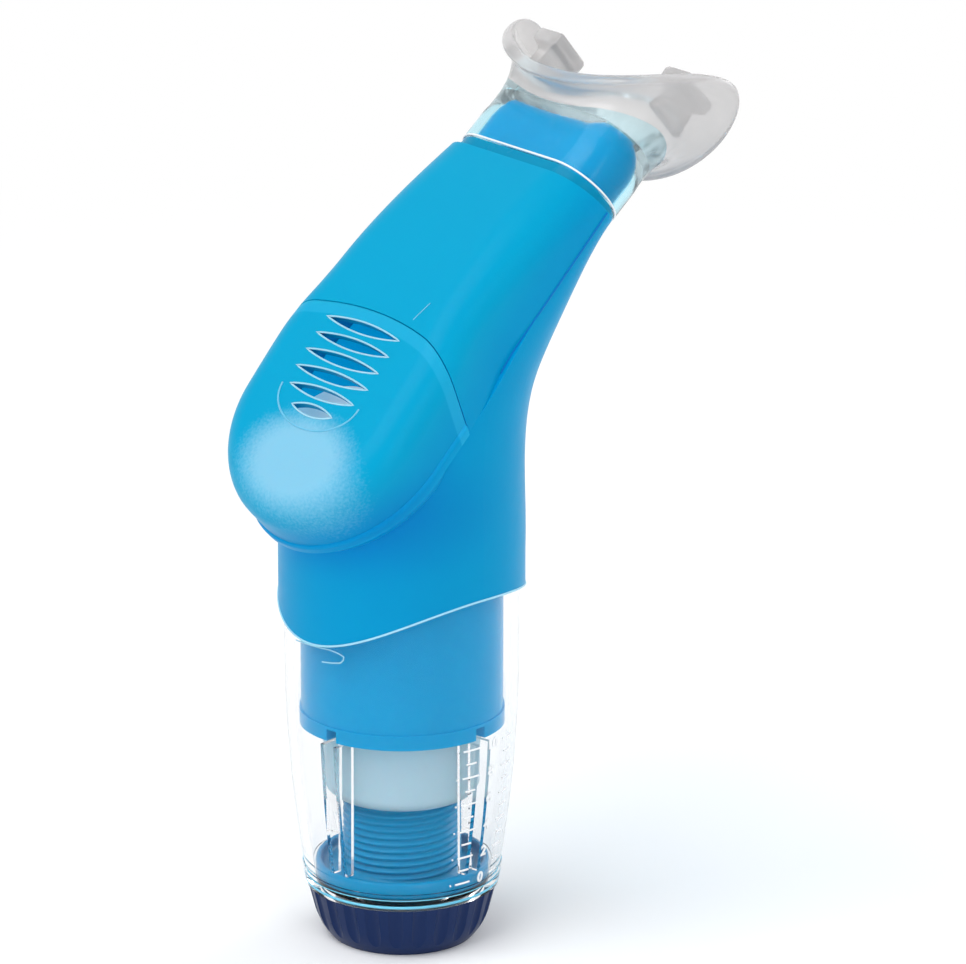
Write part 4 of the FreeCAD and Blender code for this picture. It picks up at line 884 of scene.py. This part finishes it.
def add_marks():
    """Raised dashes beside each level, long at the even ones."""
    curve = round_curve("scale_marks", MARK_RADIUS)
    for level in range(SCALE_TOP + 1):
        height = SCALE_ZERO + SCALE_LEVEL * level
        even = level % 2 == 0
        for start, end in LONG_DASHES if even else SHORT_DASHES:
            add_spline(curve, [on_sleeve(angle, height, MARK_PROUD)
                               for angle in steps_between(start, end, DASH_STEPS)])
        if even:
            add_spline(curve, [on_sleeve(angle, height, MARK_PROUD) for angle in DOT])
    add_piece("scale_marks", "tensioner", ["mark_and_highlight"], curve)


def add_number(level):
    """A raised number bent round the sleeve."""
    text = bpy.data.curves.new("digits", "FONT")
    text.body = str(level)
    text.size = DIGIT_SIZE
    text.extrude = MARK_DEPTH / 2
    text.align_x = "CENTER"
    text.align_y = "CENTER"
    text.offset = DIGIT_BOLDNESS
    holder = add_object("digits", text)
    graph = bpy.context.evaluated_depsgraph_get()
    mesh = bpy.data.meshes.new_from_object(holder.evaluated_get(graph))
    bpy.data.objects.remove(holder)
    height = SCALE_ZERO + SCALE_LEVEL * level
    for vertex in mesh.vertices:
        place = height + vertex.co.y
        angle = SCALE_TURN + math.degrees(vertex.co.x / sleeve_radius(place))
        vertex.co = on_sleeve(angle, place, vertex.co.z + MARK_PROUD) * MM
    add_piece(f"scale_number_{level}", "tensioner", ["mark_and_highlight"], mesh)


# Lines where mouldings meet, and pale lines painted as highlights along edges

RING_STEP = 3
EDGE_LINE = 0.22
SEAM_START = 9.0
SEAM_STEPS = 40
SEAM_PROUD = 0.02
COLLAR_LINE_INSET = 0.15
COLLAR_LINE_RISE = 0.1
COLLAR_LINE_STEPS = 96
BORDER_HALF_WIDTH = 11.3
BORDER_DEPTH = 7.4
BORDER_PLACE = -13.4
BORDER_STEPS = 24
BORDER_LINE = 0.2
RIDGE_START = (10.7, 7.2)
RIDGE_END = (12.02, 11.58)
RIDGE_STEPS = 6
FINE_LINE = 0.12
LATCH = (
    (-104, 64.6), (-97, 64.9), (-91, 65.1), (-84, 65.3), (-78, 65.4), (-73, 65.1), (-70, 64.6),
    (-70.3, 63.9), (-72, 63.2), (-77, 62.8), (-83, 62.5),
)
LATCH_LINE = 0.14
FOOT_HIGHLIGHTS = (("foot_rim_highlight", 11.7, 0.3), ("foot_ring_highlight", 13.3, 0.12))
SLOT_HIGHLIGHT = 0.2
SLOT_HIGHLIGHT_GAP = 0.12
SLOT_HIGHLIGHT_SINK = 0.05
SLOT_STEPS = 10


def make_edge_lines():
    """Painted highlights as pale lines along the skirt's lower edge and round the collar's foot, and the
    joint lines down both sides.
    """
    turns = [math.radians(angle) for angle in range(0, 360, RING_STEP)]
    # Painted highlight along the skirt's lower edge
    skirt = [(SKIRT_RADIUS * math.cos(turn), SKIRT_RADIUS * math.sin(turn), skirt_edge(turn))
             for turn in turns]
    add_line("skirt_edge", "handle", "line", skirt, EDGE_LINE, True)
    for side, way in (("right", 1), ("left", -1)):
        joint = [seam.point(way * (covers_half_width(along) + SEAM_PROUD), along, 0)
                 for along in steps_between(SEAM_START, HANDLE_LENGTH - CHAMFER, SEAM_STEPS)]
        add_line(f"seam_line_{side}", "handle", "joint", joint, EDGE_LINE)
    ring = []
    for number in range(COLLAR_LINE_STEPS):
        turn = 2 * math.pi * number / COLLAR_LINE_STEPS
        direction = (COLLAR_HALF_WIDTH * math.cos(turn), COLLAR_HALF_DEPTH * math.sin(turn))
        across, up = stadium(COLLAR_HALF_WIDTH - COLLAR_LINE_INSET,
                             COLLAR_HALF_DEPTH - COLLAR_LINE_INSET, direction)
        ring.append(collar.point(across, COLLAR_FOOT + COLLAR_LINE_RISE, up))
    # Painted highlight round the collar's foot, in the scale marks' white
    add_line("collar_edge", "mouthpiece", "mark_and_highlight", ring, EDGE_LINE, True)


def make_cover_lines():
    """The pale line round the vents' front, a painted highlight on its raised border, and the short ridge
    on the top shell.
    """
    border = []
    for number in range(BORDER_STEPS + 1):
        turn = math.pi * (1 + number / BORDER_STEPS)
        along = BORDER_PLACE + BORDER_DEPTH * math.sin(turn)
        border.append(seam.point(BORDER_HALF_WIDTH * math.cos(turn), along, crown(along)))
    # Painted highlight on the vents' raised border
    add_line("vent_border_highlight", "vent_cover", "rib_and_highlight", border, BORDER_LINE)
    ridge = []
    for number in range(RIDGE_STEPS + 1):
        x, along = between(RIDGE_START, RIDGE_END, number / RIDGE_STEPS)
        ridge.append(seam.point(x, along, crown(along)))
    add_line("shell_ridge", "handle", "rib_and_highlight", ridge, FINE_LINE)


def make_sleeve_lines():
    """The latch's line near the sleeve's top, and painted highlights as two pale rings round its foot."""
    add_line("latch_mark", "tensioner", "line", [on_sleeve(angle, height) for angle, height in LATCH],
             LATCH_LINE)
    # Painted highlights round the sleeve's foot
    for name, height, radius in FOOT_HIGHLIGHTS:
        ring = [on_sleeve(angle, height, -radius) for angle in range(0, 360, RING_STEP)]
        add_line(name, "tensioner", "rib_and_highlight", ring, radius, True)


def make_slot_rims():
    """Painted highlights: pale lines round the lens shaped vents."""
    rise = SLOT_WIDTH / 2 + SLOT_HIGHLIGHT_GAP
    for number in range(SLOT_COUNT):
        place = SLOT_FIRST - SLOT_PITCH * number
        past = max(0.0, -VENT_TURN - place)
        half = math.sqrt(VENT_HALF_WIDTH * VENT_HALF_WIDTH - past * past) + SLOT_HIGHLIGHT
        bow = arc_radius(half, rise)
        across = [half * step / SLOT_STEPS for step in range(-SLOT_STEPS, SLOT_STEPS + 1)]
        rim = [(x, place + rise - arc_drop(bow, x)) for x in across]
        rim += [(x, place - rise + arc_drop(bow, x)) for x in across[-2:0:-1]]
        # Painted highlight, a pale outline round each vent
        add_line(f"slot_highlight_{number + 1}", "vent_cover", "line",
                 [seam.point(x, along, crown(along) - SLOT_HIGHLIGHT_SINK) for x, along in rim], SLOT_HIGHLIGHT, True)


make_top_shell()
make_slot_rims()
make_column()
make_mouthpiece()
make_bite_block("bite_block_left", -1)
make_bite_block("bite_block_right", 1)
add_marks()
for level in range(0, SCALE_TOP + 1, 2):
    add_number(level)
make_edge_lines()
make_cover_lines()
make_sleeve_lines()


# Floor, light and camera

FLOOR_SIZE = 6.0
PAPER_SCALE = 30.0
PAPER_ROUGHNESS = 0.9
FLOOR_FADE = (160.0, 520.0)
PAPER_LOW = (0.965, 0.965, 0.965)
PAPER_HIGH = (0.985, 0.985, 0.985)
WHITE = (1, 1, 1, 1)
SOFT_LIGHT = (0.93, 0.96, 1.0, 1)
SOFT_STRENGTH = 0.55

AIM = (0, 0, 0.09)
LAMPS = (
    ("key", (-0.1, -1.1, 1.7), AIM, (1.7, 1.7), 27.0),
    ("fill", (1.6, -0.4, 0.7), AIM, (0.8, 1.2), 6.0),
    ("rear", (0.2, 1.5, 0.9), (0, 0, 0.1), (1.2, 0.8), 9.0),
)

AZIMUTH = 48.8
ELEVATION = 19.0
DISTANCE = 1.6
LOOK_AT = Vector((0, 0.012, 0.085))
SENSOR_WIDTH = 36.0
LENS = 304.1
SHIFT_X = 0.0363
SHIFT_Y = 0.0291
NEAREST = 0.05
FURTHEST = 20.0


def background_seen(tree):
    """1 where the camera sees the background, also in glass and in gloss."""
    ray = tree.nodes.new("ShaderNodeLightPath")
    seen = math_node(tree, "MAXIMUM", ray.outputs["Is Camera Ray"], ray.outputs["Is Transmission Ray"])
    return math_node(tree, "MAXIMUM", seen, ray.outputs["Is Glossy Ray"])


def make_stage():
    """Pale paper that keeps the object's shadow and fades to white further off."""
    bpy.ops.mesh.primitive_plane_add(size=FLOOR_SIZE, location=(0, 0, 0))
    floor = bpy.context.object
    floor.name = "floor"
    material, tree, shader = new_material("floor_paper")
    shader.inputs["Roughness"].default_value = PAPER_ROUGHNESS
    paper = blend_colours(tree, noise(tree, PAPER_SCALE), PAPER_LOW, PAPER_HIGH)
    tree.links.new(paper, shader.inputs["Base Color"])
    far = distance(tree, Axes(0, 0, 0), MIDDLE)
    far = spread(tree, far, 0.0, 1.0, *FLOOR_FADE, smooth=True)
    far = math_node(tree, "MULTIPLY", far, background_seen(tree))
    white = tree.nodes.new("ShaderNodeEmission")
    white.inputs["Color"].default_value = WHITE
    mix_shaders(tree, far, shader, white, tree.nodes["Material Output"])
    floor.data.materials.append(material)


def make_world():
    """A soft, even light on the object, and plain white where the camera sees past it."""
    world = bpy.data.worlds.new("studio")
    bpy.context.scene.world = world
    world.use_nodes = True
    tree = world.node_tree
    tree.nodes.clear()
    output = tree.nodes.new("ShaderNodeOutputWorld")
    soft = tree.nodes.new("ShaderNodeBackground")
    soft.inputs["Color"].default_value = SOFT_LIGHT
    soft.inputs["Strength"].default_value = SOFT_STRENGTH
    white = tree.nodes.new("ShaderNodeBackground")
    white.inputs["Color"].default_value = WHITE
    mix_shaders(tree, background_seen(tree), soft, white, output)


def make_lamp(name, place, target, size, watts):
    data = bpy.data.lights.new(name, "AREA")
    data.shape = "RECTANGLE"
    data.size, data.size_y = size
    data.energy = watts
    lamp = add_object(name, data)
    lamp.location = place
    lamp.rotation_euler = (Vector(target) - Vector(place)).to_track_quat("-Z", "Y").to_euler()


def make_camera():
    data = bpy.data.cameras.new("camera")
    data.lens = LENS
    data.sensor_width = SENSOR_WIDTH
    data.shift_x = SHIFT_X
    data.shift_y = SHIFT_Y
    data.clip_start = NEAREST
    data.clip_end = FURTHEST
    camera = add_object("camera", data)
    azimuth = math.radians(AZIMUTH)
    elevation = math.radians(ELEVATION)
    back = Vector((
        math.sin(azimuth) * math.cos(elevation),
        -math.cos(azimuth) * math.cos(elevation),
        math.sin(elevation),
    ))
    camera.location = LOOK_AT + back * DISTANCE
    camera.rotation_euler = (-back).to_track_quat("-Z", "Y").to_euler()
    bpy.context.scene.camera = camera


make_stage()
make_world()
for lamp in LAMPS:
    make_lamp(*lamp)
make_camera()

scene = bpy.context.scene
scene.view_settings.view_transform = "Standard"
